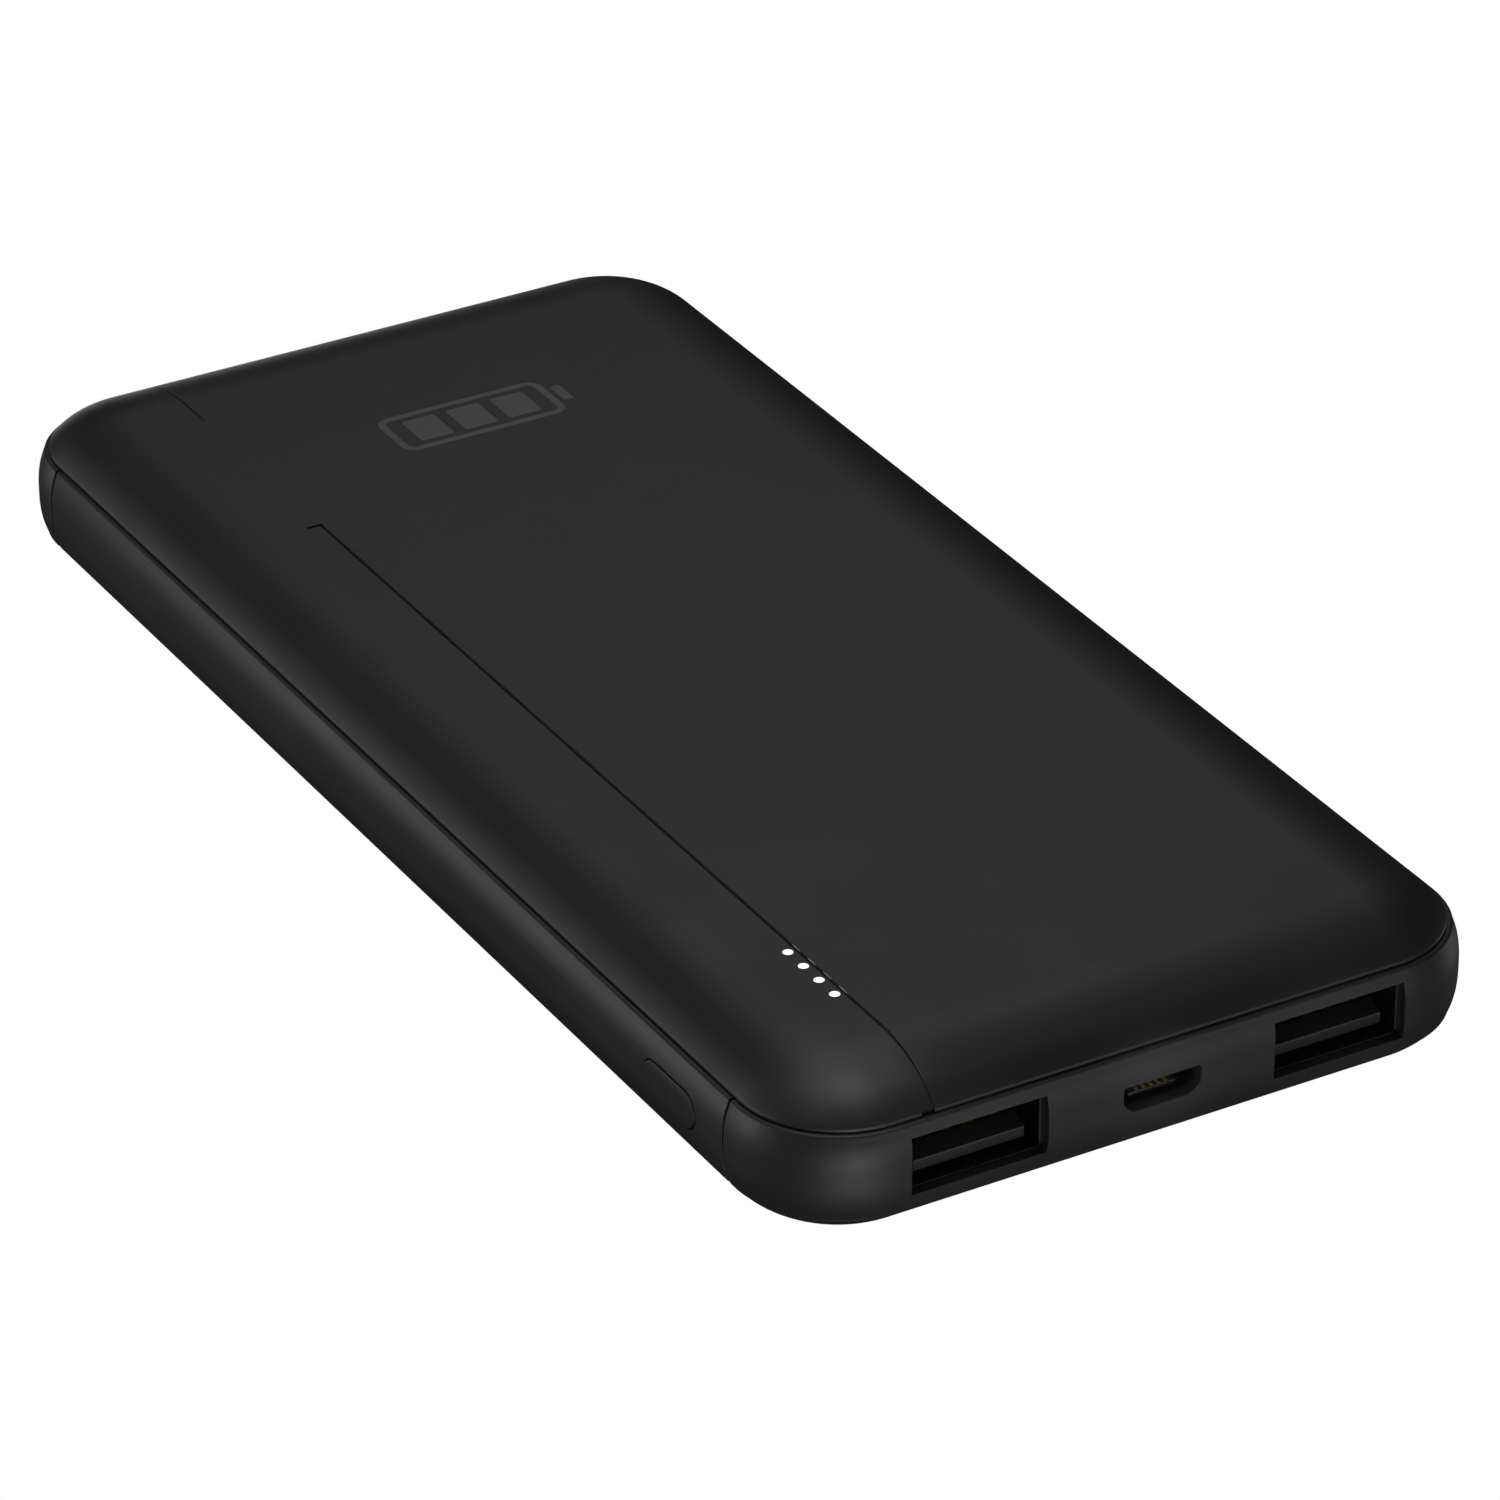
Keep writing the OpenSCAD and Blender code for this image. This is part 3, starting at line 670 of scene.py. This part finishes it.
def pill(l, h, steps=12):
    """Outline of a pill, long along its first axis."""
    r = h / 2
    return arc(l / 2 - r, 0, r, -90, 90, steps) + arc(r - l / 2, 0, r, 90, 270, steps)


JOINT_EDGE = [(0, JOINT_FILLET), (JOINT_FILLET * 0.3, JOINT_FILLET * 0.3), (JOINT_FILLET, 0)]


def rail(name, side):
    """A straight side rail with softened ends."""
    ends = [(RAIL_FRONT_Y + along, inset) for along, inset in JOINT_EDGE]
    ends += [(RAIL_REAR_Y - along, inset) for along, inset in reversed(JOINT_EDGE)]
    x = HALF_W - CORNER_R
    rings = []
    for y, inset in ends:
        ring = []
        for px, pz in band_section():
            outer = px > CORNER_R - BAND_WALL + 0.1
            ring.append((side * (x + px - (inset if outer else 0)), y, pz))
        rings.append(ring)
    return loft(name, rings)


def button_hole():
    """Pill-shaped cutter through the left rail."""
    outline = pill(BUTTON_L + 2 * BUTTON_GAP, BUTTON_H + 2 * BUTTON_GAP)
    ends = (-HALF_W + BAND_WALL + 1, -HALF_W - 1)
    return loft(
        "button_hole", [[(x, BUTTON_Y + py, MID_Z + pz) for py, pz in outline] for x in ends]
    )


def end_cap(name, side):
    """An end cap with softened vertical seam edges."""
    joint_y = RAIL_REAR_Y + JOINT_GAP if side > 0 else RAIL_FRONT_Y - JOINT_GAP
    stations = cap_stations(side, joint_y)
    section = band_section()
    inner = CORNER_R - BAND_WALL + 0.1
    ends = []
    for cx, cy, ux, uy in (stations[0], stations[-1]):
        steps = []
        for along, inset in JOINT_EDGE:
            moved = (cx, cy + side * along, ux, uy)
            drawn = [(px - inset if px > inner else px, pz) for px, pz in section]
            steps.append([place(moved, p) for p in drawn])
        ends.append(steps)
    between = [[place(s, p) for p in section] for s in stations[1:-1]]
    return loft(name, ends[0] + between + ends[1][::-1])


left_rail = cut(rail("left_rail_shell", -1), [button_hole()])
finish_piece(left_rail, "case", MATERIALS["band_plastic"], ["left_rail"])
right_rail = rail("right_rail_shell", 1)
finish_piece(right_rail, "case", MATERIALS["band_plastic"], ["right_rail"])

USB_OPEN_W = 12.8
USB_OPEN_H = 5.35
PORT_LIP = 1.1
MICRO_OPEN_W = 7.4
MICRO_OPEN_H = 2.45
MICRO_CUT = 0.9
USB_BOXES = [box_mm("usb_shell_left"), box_mm("usb_shell_right")]
MICRO_BOX = box_mm("micro_shell")
MICRO_LIP = MICRO_BOX[0].y + HALF_L - 0.05


def middle(box):
    """Middle point of a box."""
    return (box[0] + box[1]) / 2


def port_cutter(name, centre, outline_of, levels):
    """Cutter along Y: outline_of(grow) drawn at each (y, grow) level."""
    rings = [
        [(centre.x + px, y, centre.z + pz) for px, pz in outline_of(grow)] for y, grow in levels
    ]
    return loft(name, rings)


def opening_levels(lip):
    """Depths and widening of an opening, with a softened outer rim."""
    steps = ((-1, 0.1), (-0.02, 0.1), (0.03, 0.05), (0.14, 0), (lip + 0.05, 0))
    return [(-HALF_L + depth, grow) for depth, grow in steps]


def pocket_levels(lip):
    """Depths of the room for a port's shell, behind the lip of its opening."""
    return [(-HALF_L + lip, 0), (-HALF_L + BAND_WALL + 1, 0)]


def usb_opening(grow):
    """Outline of a wide port's opening."""
    return round_rect(USB_OPEN_W + 2 * grow, USB_OPEN_H + 2 * grow, 0.12 + grow, 3)


def usb_pocket(grow):
    """Outline of the room for a wide port's shell."""
    return round_rect(13.4 + 2 * grow, 6.0 + 2 * grow, 0.3, 3)


def micro_outline(w, h, cut_size, r=0.3):
    """Outline of the small port, wide side up, with rounded corners."""
    corners = [
        (w / 2, h / 2),
        (-w / 2, h / 2),
        (-w / 2, cut_size - h / 2),
        (cut_size - w / 2, -h / 2),
        (w / 2 - cut_size, -h / 2),
        (w / 2, cut_size - h / 2),
    ]
    return soften(corners, r)


def micro_opening(grow):
    """Outline of the small port's opening."""
    return micro_outline(
        MICRO_OPEN_W + 2 * grow, MICRO_OPEN_H + 2 * grow, MICRO_CUT + 0.6 * grow
    )


def micro_pocket(grow):
    """Outline of the room for the small port's shell."""
    return round_rect(8.1 + 2 * grow, 3.1 + 2 * grow, 0.2, 3)


front_cap = end_cap("front_cap_shell", -1)
ports = [(box, usb_opening, usb_pocket, PORT_LIP) for box in USB_BOXES]
ports.append((MICRO_BOX, micro_opening, micro_pocket, MICRO_LIP))
port_cutters = []
for box, opening, pocket, lip in ports:
    port_cutters.append(port_cutter("opening", middle(box), opening, opening_levels(lip)))
    port_cutters.append(port_cutter("pocket", middle(box), pocket, pocket_levels(lip)))
cut(front_cap, port_cutters)
finish_piece(front_cap, "case", MATERIALS["band_plastic"], ["front_cap"])

rear_cap = end_cap("rear_cap_shell", 1)
finish_piece(rear_cap, "case", MATERIALS["band_plastic"], ["rear_cap"])


# ---------------------------------------------------------------- button

BUTTON_FACE_X = BUTTON_LOW.x
BUTTON_FLANGE_X = -HALF_W + BAND_WALL + 0.15
BUTTON_FLANGE_T = 0.6
BUTTON_FLANGE_OVER = 0.9
BUTTON_STEM_X = BUTTON_HIGH.x
BUTTON_ROUNDING = 0.1
BUTTON_STEM = (3.2, 2.0)


def button_crown(pz):
    """How far the face lies back at height pz, so that it follows the band."""
    return crown_x(0) - crown_x(pz)


def button_ring(x, shrink, follow=False):
    """Pill outline at depth x, its face curved with the band where follow is set."""
    ring = []
    for py, pz in pill(BUTTON_L - 2 * shrink, BUTTON_H - 2 * shrink):
        back = button_crown(pz) if follow else 0
        ring.append((x + back, BUTTON_Y + py, MID_Z + pz))
    return ring


def power_button():
    """Button cap with a softened rim and its flange."""
    face = []
    for i in range(FILLET_STEPS + 1):
        a = math.radians(90 * i / FILLET_STEPS)
        sunk = BUTTON_ROUNDING * (1 - math.cos(a))
        shrink = BUTTON_ROUNDING * (1 - math.sin(a))
        face.append(button_ring(BUTTON_FACE_X + sunk, shrink, True))
    inner_face = [button_ring(BUTTON_FACE_X, s, True) for s in (1.6, 1.2, 0.8, 0.5)]
    over = -BUTTON_FLANGE_OVER
    flange = [
        button_ring(BUTTON_FLANGE_X, 0),
        button_ring(BUTTON_FLANGE_X, over + 0.1),
        button_ring(BUTTON_FLANGE_X + 0.1, over),
        button_ring(BUTTON_FLANGE_X + BUTTON_FLANGE_T - 0.1, over),
        button_ring(BUTTON_FLANGE_X + BUTTON_FLANGE_T, over + 0.1),
    ]
    return loft("button_cap", inner_face + face + flange)


def button_stem():
    """Square stem behind the flange, with softened corners."""
    start = BUTTON_FLANGE_X + BUTTON_FLANGE_T - 0.05
    end = BUTTON_STEM_X
    l, h = BUTTON_STEM
    rings = []
    for x, grow in ((start, 0.2), (start + 0.2, 0), (end - 0.06, 0), (end, -0.06)):
        outline = round_rect(l + 2 * grow, h + 2 * grow, 0.3, 4)
        rings.append([(x, BUTTON_Y + py, MID_Z + pz) for py, pz in outline])
    return loft("button_stem", rings)


finish_piece(power_button(), "button", MATERIALS["button_plastic"], ["power_button"])
finish_piece(button_stem(), "button", MATERIALS["button_plastic"])


# ---------------------------------------------------------------- wide ports

USB_SHEET = 0.3
USB_TONGUE_W = 10.6
USB_TONGUE_T = 1.74
USB_TONGUE_RISE = 0.72
USB_BLOCK_L = 3
TONGUE_TIP_Y = box_mm("usb_tongue_left")[0].y
TONGUE_RAMP_L = 1.6
TONGUE_RAMP_H = 0.7
TONGUE_SOFT = 0.08
SPRING_W = 1.8
SPRING_L = 4.5
SPRING_FROM_FRONT = 3.0
SPRING_OFFSETS = (-3.1, 3.1)
SPRING_DIP = 0.42
CONTACT_OFFSETS = (-3.5, -1, 1, 3.5)


def usb_shell(name, usb):
    """Folded steel shell with a flared mouth and windows for its spring leaves."""
    low, high = usb
    centre = middle(usb)
    w, h = high.x - low.x, high.z - low.z
    soft = 0.06
    outer = [(low.y + soft, 0), (high.y - soft, 0), (high.y, soft)]
    inner = [(high.y, USB_SHEET - soft), (low.y + 0.2, USB_SHEET), (low.y, USB_SHEET * 0.8)]
    rings = []
    for y, inset in [(low.y, soft)] + outer + inner:
        r = 0.4 - inset * 0.9
        outline = round_rect(w - 2 * inset, h - 2 * inset, r, 6)
        rings.append([(centre.x + px, y, centre.z + pz) for px, pz in outline])
    rings.append(rings[0])
    shell = loft(name, rings, closed_ends=False)
    windows = []
    for offset in SPRING_OFFSETS:
        y0 = low.y + SPRING_FROM_FRONT
        outline = round_rect(SPRING_W, SPRING_L, 0.25, 4)
        at = [(centre.x + offset + px, y0 + SPRING_L / 2 + py) for px, py in outline]
        rings = [[(x, y, z) for x, y in at] for z in (low.z - 1, high.z + 1)]
        windows.append(loft("window", rings))
    return cut(shell, windows)


def ribbon(name, path, w, t, across=Vector((1, 0, 0))):
    """A bent strip of sheet along a path in the YZ plane, w wide and t thick."""
    points = [Vector(p) for p in path]
    rings = []
    for i, point in enumerate(points):
        ahead = points[min(i + 1, len(points) - 1)] - points[max(i - 1, 0)]
        lift = across.cross(ahead.normalized()) * (t / 2)
        side = across * (w / 2)
        soft = across * (w / 2 - min(t, w) * 0.3)
        lower = [-side - lift * 0.4, -soft - lift, soft - lift, side - lift * 0.4]
        rings.append([point + p for p in lower] + [point - p for p in lower])
    return loft(name, rings)


def usb_springs(name, usb):
    """The four leaves that grip a plug, two from above and two from below."""
    low, high = usb
    centre = middle(usb)
    leaves = []
    y0 = low.y + SPRING_FROM_FRONT
    for offset in SPRING_OFFSETS:
        for z_wall, inward in ((high.z - USB_SHEET / 2, -1), (low.z + USB_SHEET / 2, 1)):
            path = []
            for k in range(9):
                t = k / 8
                dip = SPRING_DIP * math.sin(math.pi * min(t * 1.25, 1))
                y = y0 + SPRING_L - 0.05 - t * (SPRING_L - 0.7)
                path.append((centre.x + offset, y, z_wall + inward * dip))
            leaves.append(ribbon("leaf", path, SPRING_W - 0.5, USB_SHEET * 0.8))
    return join(name, leaves)


def usb_tongue_blade(usb, z0, z1):
    """The tongue itself, between heights z0 and z1, with its wedge nose."""
    centre = middle(usb)
    tip, root = TONGUE_TIP_Y, usb[1].y - USB_BLOCK_L / 2
    corners = [(tip, z0), (root, z0), (root, z1), (tip + TONGUE_RAMP_L, z1)]
    profile = soften(corners + [(tip, z1 - TONGUE_RAMP_H)], 0.12, 3)
    half_w = USB_TONGUE_W / 2
    soft = TONGUE_SOFT
    rings = []
    for x, inset in ((-half_w, soft), (soft - half_w, 0), (half_w - soft, 0), (half_w, soft)):
        ring = []
        for y, z in profile:
            nose = inset if y < tip + 0.3 else 0
            rise = inset if z < (z0 + z1) / 2 else -inset
            ring.append((centre.x + x, y + nose, z + rise))
        rings.append(ring)
    return loft("tongue", rings)


def usb_tongue(name, usb):
    """Moulded tongue with contact grooves, on its rear block."""
    low, high = usb
    centre = middle(usb)
    z0 = low.z + USB_SHEET + USB_TONGUE_RISE
    z1 = z0 + USB_TONGUE_T
    tongue = usb_tongue_blade(usb, z0, z1)
    block_y = high.y - USB_BLOCK_L
    grooves = []
    for offset in CONTACT_OFFSETS:
        at = [(centre.x + offset + px, z1 + pz) for px, pz in round_rect(1.25, 0.36, 0.05, 2)]
        ends = (TONGUE_TIP_Y + TONGUE_RAMP_L, block_y)
        grooves.append(loft("groove", [[(x, y, z) for x, z in at] for y in ends]))
    cut(tongue, grooves)
    block_w = high.x - low.x - 2 * USB_SHEET - 0.6
    block_h = high.z - low.z - 2 * USB_SHEET - 0.06
    rings = []
    for y, g in ((block_y, 0.12), (block_y + 0.12, 0), (high.y - 0.2, 0), (high.y - 0.1, 0.1)):
        outline = round_rect(block_w - 2 * g, block_h - 2 * g, 0.25, 4)
        rings.append([(centre.x + px, y, centre.z + pz) for px, pz in outline])
    return join(name, [tongue, loft("block", rings)])


def usb_contacts(name, usb):
    """Four gilt contacts, each with a raised bow."""
    low, high = usb
    centre = middle(usb)
    top = low.z + USB_SHEET + USB_TONGUE_RISE + USB_TONGUE_T
    start, end = TONGUE_TIP_Y + TONGUE_RAMP_L + 0.15, high.y - USB_BLOCK_L - 0.05
    strips = []
    for offset in CONTACT_OFFSETS:
        path = []
        for k in range(11):
            t = k / 10
            bow = 0.11 * math.sin(math.pi * min(1, t * 2.2)) if t < 0.46 else 0
            path.append((centre.x + offset, start + (end - start) * t, top - 0.04 + bow))
        strips.append(ribbon("contact", path, 1.0, 0.12))
    return join(name, strips)


for side, usb in zip(("left", "right"), USB_BOXES):
    shell = usb_shell(f"usb_shell_{side}_steel", usb)
    finish_piece(shell, "case", MATERIALS["port_steel"], [f"usb_shell_{side}"])
    springs = usb_springs(f"usb_springs_{side}", usb)
    finish_piece(springs, "case", MATERIALS["port_steel"])
    tongue = usb_tongue(f"usb_tongue_{side}_moulding", usb)
    finish_piece(tongue, "case", MATERIALS["dark_moulding"], [f"usb_tongue_{side}"])
    contacts = usb_contacts(f"usb_contacts_{side}_gilt", usb)
    finish_piece(contacts, "case", MATERIALS["gold_contact"], [f"usb_contacts_{side}"])


# ---------------------------------------------------------------- small port

MICRO_SHEET = 0.25
MICRO_TONGUE_W = 4.6
MICRO_TONGUE_T = 0.38
MICRO_RISE = 0.22
MICRO_CONTACT_Z = box_mm("micro_contacts")[0].z + MICRO_RISE
MICRO_PITCH = 0.7
MICRO_CONTACTS = 5


def micro_shell():
    """Folded shell of the small port, with a slightly flared mouth."""
    low, high = MICRO_BOX
    centre = middle(MICRO_BOX)
    w, h = high.x - low.x, high.z - low.z
    rings = []
    levels = [
        (low.y, 0.05),
        (low.y + 0.05, 0),
        (high.y - 0.05, 0),
        (high.y, 0.05),
        (high.y, MICRO_SHEET - 0.04),
        (low.y + 0.35, MICRO_SHEET),
        (low.y, MICRO_SHEET * 0.6),
    ]
    for y, inset in levels:
        outline = micro_outline(w - 2 * inset, h - 2 * inset, 1.0 - 0.4 * inset, 0.35)
        rings.append([(centre.x + px, y, centre.z + pz) for px, pz in outline])
    rings.append(rings[0])
    return loft("micro_shell_steel", rings, closed_ends=False)


def micro_tongue():
    """Thin tongue on a rear wall, with a rounded nose."""
    low, high = MICRO_BOX
    centre = middle(MICRO_BOX)
    tongue_z = MICRO_CONTACT_Z - MICRO_TONGUE_T / 2
    rings = []
    start = box_mm("micro_tongue")[0].y
    for y, g in ((start, 0.12), (start + 0.12, 0), (high.y - 1.0, 0)):
        outline = round_rect(MICRO_TONGUE_W - 2 * g, MICRO_TONGUE_T - 2 * g, 0.12, 3)
        rings.append([(centre.x + px, y, tongue_z + pz) for px, pz in outline])
    tongue = loft("tongue", rings)
    inner_w = high.x - low.x - 2 * MICRO_SHEET - 0.1
    inner_h = high.z - low.z - 2 * MICRO_SHEET - 0.06
    rings = []
    for y, g in ((high.y - 1.2, 0.08), (high.y - 1.12, 0), (high.y - 0.05, 0)):
        outline = micro_outline(inner_w - 2 * g, inner_h - 2 * g, MICRO_CUT, 0.2)
        rings.append([(centre.x + px, y, centre.z + pz) for px, pz in outline])
    return join("micro_tongue_moulding", [tongue, loft("wall", rings)])


def micro_contacts():
    """Five gilt strips on top of the tongue."""
    centre = middle(MICRO_BOX)
    start, end = box_mm("micro_contacts")[0].y, MICRO_BOX[1].y - 1.2
    strips = []
    for i in range(MICRO_CONTACTS):
        x = centre.x + (i - (MICRO_CONTACTS - 1) / 2) * MICRO_PITCH
        path = []
        for k in range(9):
            bow = 0.06 * math.sin(math.pi * k / 8)
            path.append((x, start + (end - start) * k / 8, MICRO_CONTACT_Z + 0.03 + bow))
        strips.append(ribbon("contact", path, 0.3, 0.1))
    return join("micro_contacts_gilt", strips)


finish_piece(micro_shell(), "case", MATERIALS["port_steel"], ["micro_shell"])
finish_piece(micro_tongue(), "case", MATERIALS["tongue_resin"], ["micro_tongue"])
finish_piece(micro_contacts(), "case", MATERIALS["gold_contact"], ["micro_contacts"])


# ---------------------------------------------------------------- CAD nodes that stay

SLOT_OF = {row["node"]: row["material_slot"] for row in frame["record"]["subparts"]}


def dress_cad_nodes():
    """Puts the slot's material on every CAD node."""
    for name, node in NODES.items():
        node.data.materials.clear()
        node.data.materials.append(MATERIALS[SLOT_OF[name]])


dress_cad_nodes()


# ---------------------------------------------------------------- stage

CAMERA_AZIMUTH = -30.185
CAMERA_ELEVATION = 30.014
CAMERA_ROLL = 0.092
CAMERA_DISTANCE = 0.68665
CAMERA_AIM = Vector((0.00185, -0.00362, 0.00448))
CAMERA_LENS = 186.8
SOFTBOX_DISTANCE = 0.7
SNOOT_DISTANCE = 0.5
SNOOT_RADIUS = 0.004


def add_camera():
    """The camera, placed by its direction and distance from the point it aims at."""
    camera = bpy.data.objects.new("camera", bpy.data.cameras.new("camera"))
    bpy.context.scene.collection.objects.link(camera)
    camera.data.lens = CAMERA_LENS
    camera.data.sensor_width = 36
    camera.data.clip_start = 0.01
    turn = Euler((math.radians(90 - CAMERA_ELEVATION), 0, math.radians(CAMERA_AZIMUTH)))
    back = turn.to_matrix() @ Vector((0, 0, 1))
    camera.location = CAMERA_AIM + back * CAMERA_DISTANCE
    roll = Euler((0, 0, math.radians(CAMERA_ROLL))).to_matrix()
    camera.rotation_euler = (turn.to_matrix() @ roll).to_euler()
    bpy.context.scene.camera = camera


def hang_light(data, azimuth, elevation, target, distance):
    """Puts a light at a distance from its target, in a direction in degrees, facing it."""
    light = bpy.data.objects.new(data.name, data)
    bpy.context.scene.collection.objects.link(light)
    turn = Euler((math.radians(90 - elevation), 0, math.radians(azimuth)))
    light.location = target + turn.to_matrix() @ Vector((0, 0, 1)) * distance
    light.rotation_euler = turn


def add_softbox(name, azimuth, elevation, side, power):
    """A square area light that faces the object."""
    data = bpy.data.lights.new(name, "AREA")
    data.shape = "SQUARE"
    data.size = side
    data.energy = power
    hang_light(data, azimuth, elevation, Vector((0, 0, 0)), SOFTBOX_DISTANCE)


def add_snoot(name, azimuth, elevation, place_lit, spread, power):
    """A soft narrow spot aimed at one place on the object, as from a snoot."""
    data = bpy.data.lights.new(name, "SPOT")
    data.energy = power
    data.shadow_soft_size = SNOOT_RADIUS
    data.spot_size = 2 * math.atan(spread / SNOOT_DISTANCE)
    data.spot_blend = 1.0
    hang_light(data, azimuth, elevation, Vector(place_lit) * MM, SNOOT_DISTANCE)


# Soft boxes: name, azimuth, elevation, side in metres, power in watts
SOFTBOXES = [
    ("front_low", 20, 0, 0.22, 0.42),
    ("front_left_low", -12, -15, 0.18, 1.0),
    ("front_bounce", 10, -25, 0.22, 0.1),
    ("front_left_bounce", -30, -20, 0.2, 0.365),
    ("front_left_high", -60, 65, 0.25, 0.19),
    ("left", -110, 0, 0.14, 0.84),
    ("left_rear", 220, 0, 0.22, 0.42),
    ("left_rear_high", 220, 25, 0.22, 0.35),
    ("rear_high", 150, 50, 0.3, 0.54),
    ("overhead", 60, 80, 0.14, 0.32),
    ("right_low", 90, -12, 0.22, 0.25),
    ("rear_low", 165, -12, 0.22, 0.28),
]
WORLD_FILL = 0.01
# Snoots: name, azimuth, elevation, place lit in millimetres, spread in metres, watts
SNOOTS = [
    ("cover_corner_glow", 125, 75, (-26.9, -68.2, 13.5), 0.0078, 1.75),
    ("cover_corner_glow_left", -160, 67, (-27.2, -68.2, 13.5), 0.0078, 0.5),
    ("cap_side_glow", -110, 25, (-33.7, -65.6, 10.2), 0.0115, 0.3),
    ("wide_port_fill_left", -22, 38, (-16.85, -72.0, 7.0), 0.0075, 1.4),
    ("wide_port_fill_right", -22, 38, (17.85, -72.0, 7.0), 0.0075, 1.4),
    ("small_port_fill", -22, 35, (0.5, -72.0, 6.8), 0.0045, 6.0),
]


def add_lights():
    """All soft boxes and snoots of the studio."""
    for row in SOFTBOXES:
        add_softbox(*row)
    for row in SNOOTS:
        add_snoot(*row)


def white_floor():
    """A plain white floor that shows to the camera but throws no light back."""
    material = bpy.data.materials.new("studio_white")
    material.use_nodes = True
    tree = material.node_tree
    tree.nodes.clear()
    output = tree.nodes.new("ShaderNodeOutputMaterial")
    glow = tree.nodes.new("ShaderNodeEmission")
    glow.inputs["Color"].default_value = (1, 1, 1, 1)
    tree.links.new(glow.outputs["Emission"], output.inputs["Surface"])
    bpy.ops.mesh.primitive_plane_add(size=12, location=(0, 0, 0))
    floor = bpy.context.object
    floor.name = "studio_floor"
    floor.data.materials.append(material)
    floor.visible_diffuse = False
    floor.visible_glossy = False
    floor.visible_shadow = False


def white_world():
    """White behind the object, and only a faint fill light on it."""
    world = bpy.data.worlds.new("studio")
    world.use_nodes = True
    tree = world.node_tree
    fill = tree.nodes["Background"]
    fill.inputs["Color"].default_value = (1, 1, 1, 1)
    fill.inputs["Strength"].default_value = WORLD_FILL
    backdrop = tree.nodes.new("ShaderNodeBackground")
    backdrop.inputs["Color"].default_value = (1, 1, 1, 1)
    path = tree.nodes.new("ShaderNodeLightPath")
    mix = tree.nodes.new("ShaderNodeMixShader")
    tree.links.new(path.outputs["Is Camera Ray"], mix.inputs["Fac"])
    tree.links.new(fill.outputs["Background"], mix.inputs[1])
    tree.links.new(backdrop.outputs["Background"], mix.inputs[2])
    tree.links.new(mix.outputs["Shader"], tree.nodes["World Output"].inputs["Surface"])
    bpy.context.scene.world = world


bpy.context.scene.view_settings.view_transform = "Standard"
add_camera()
white_floor()
white_world()
add_lights()
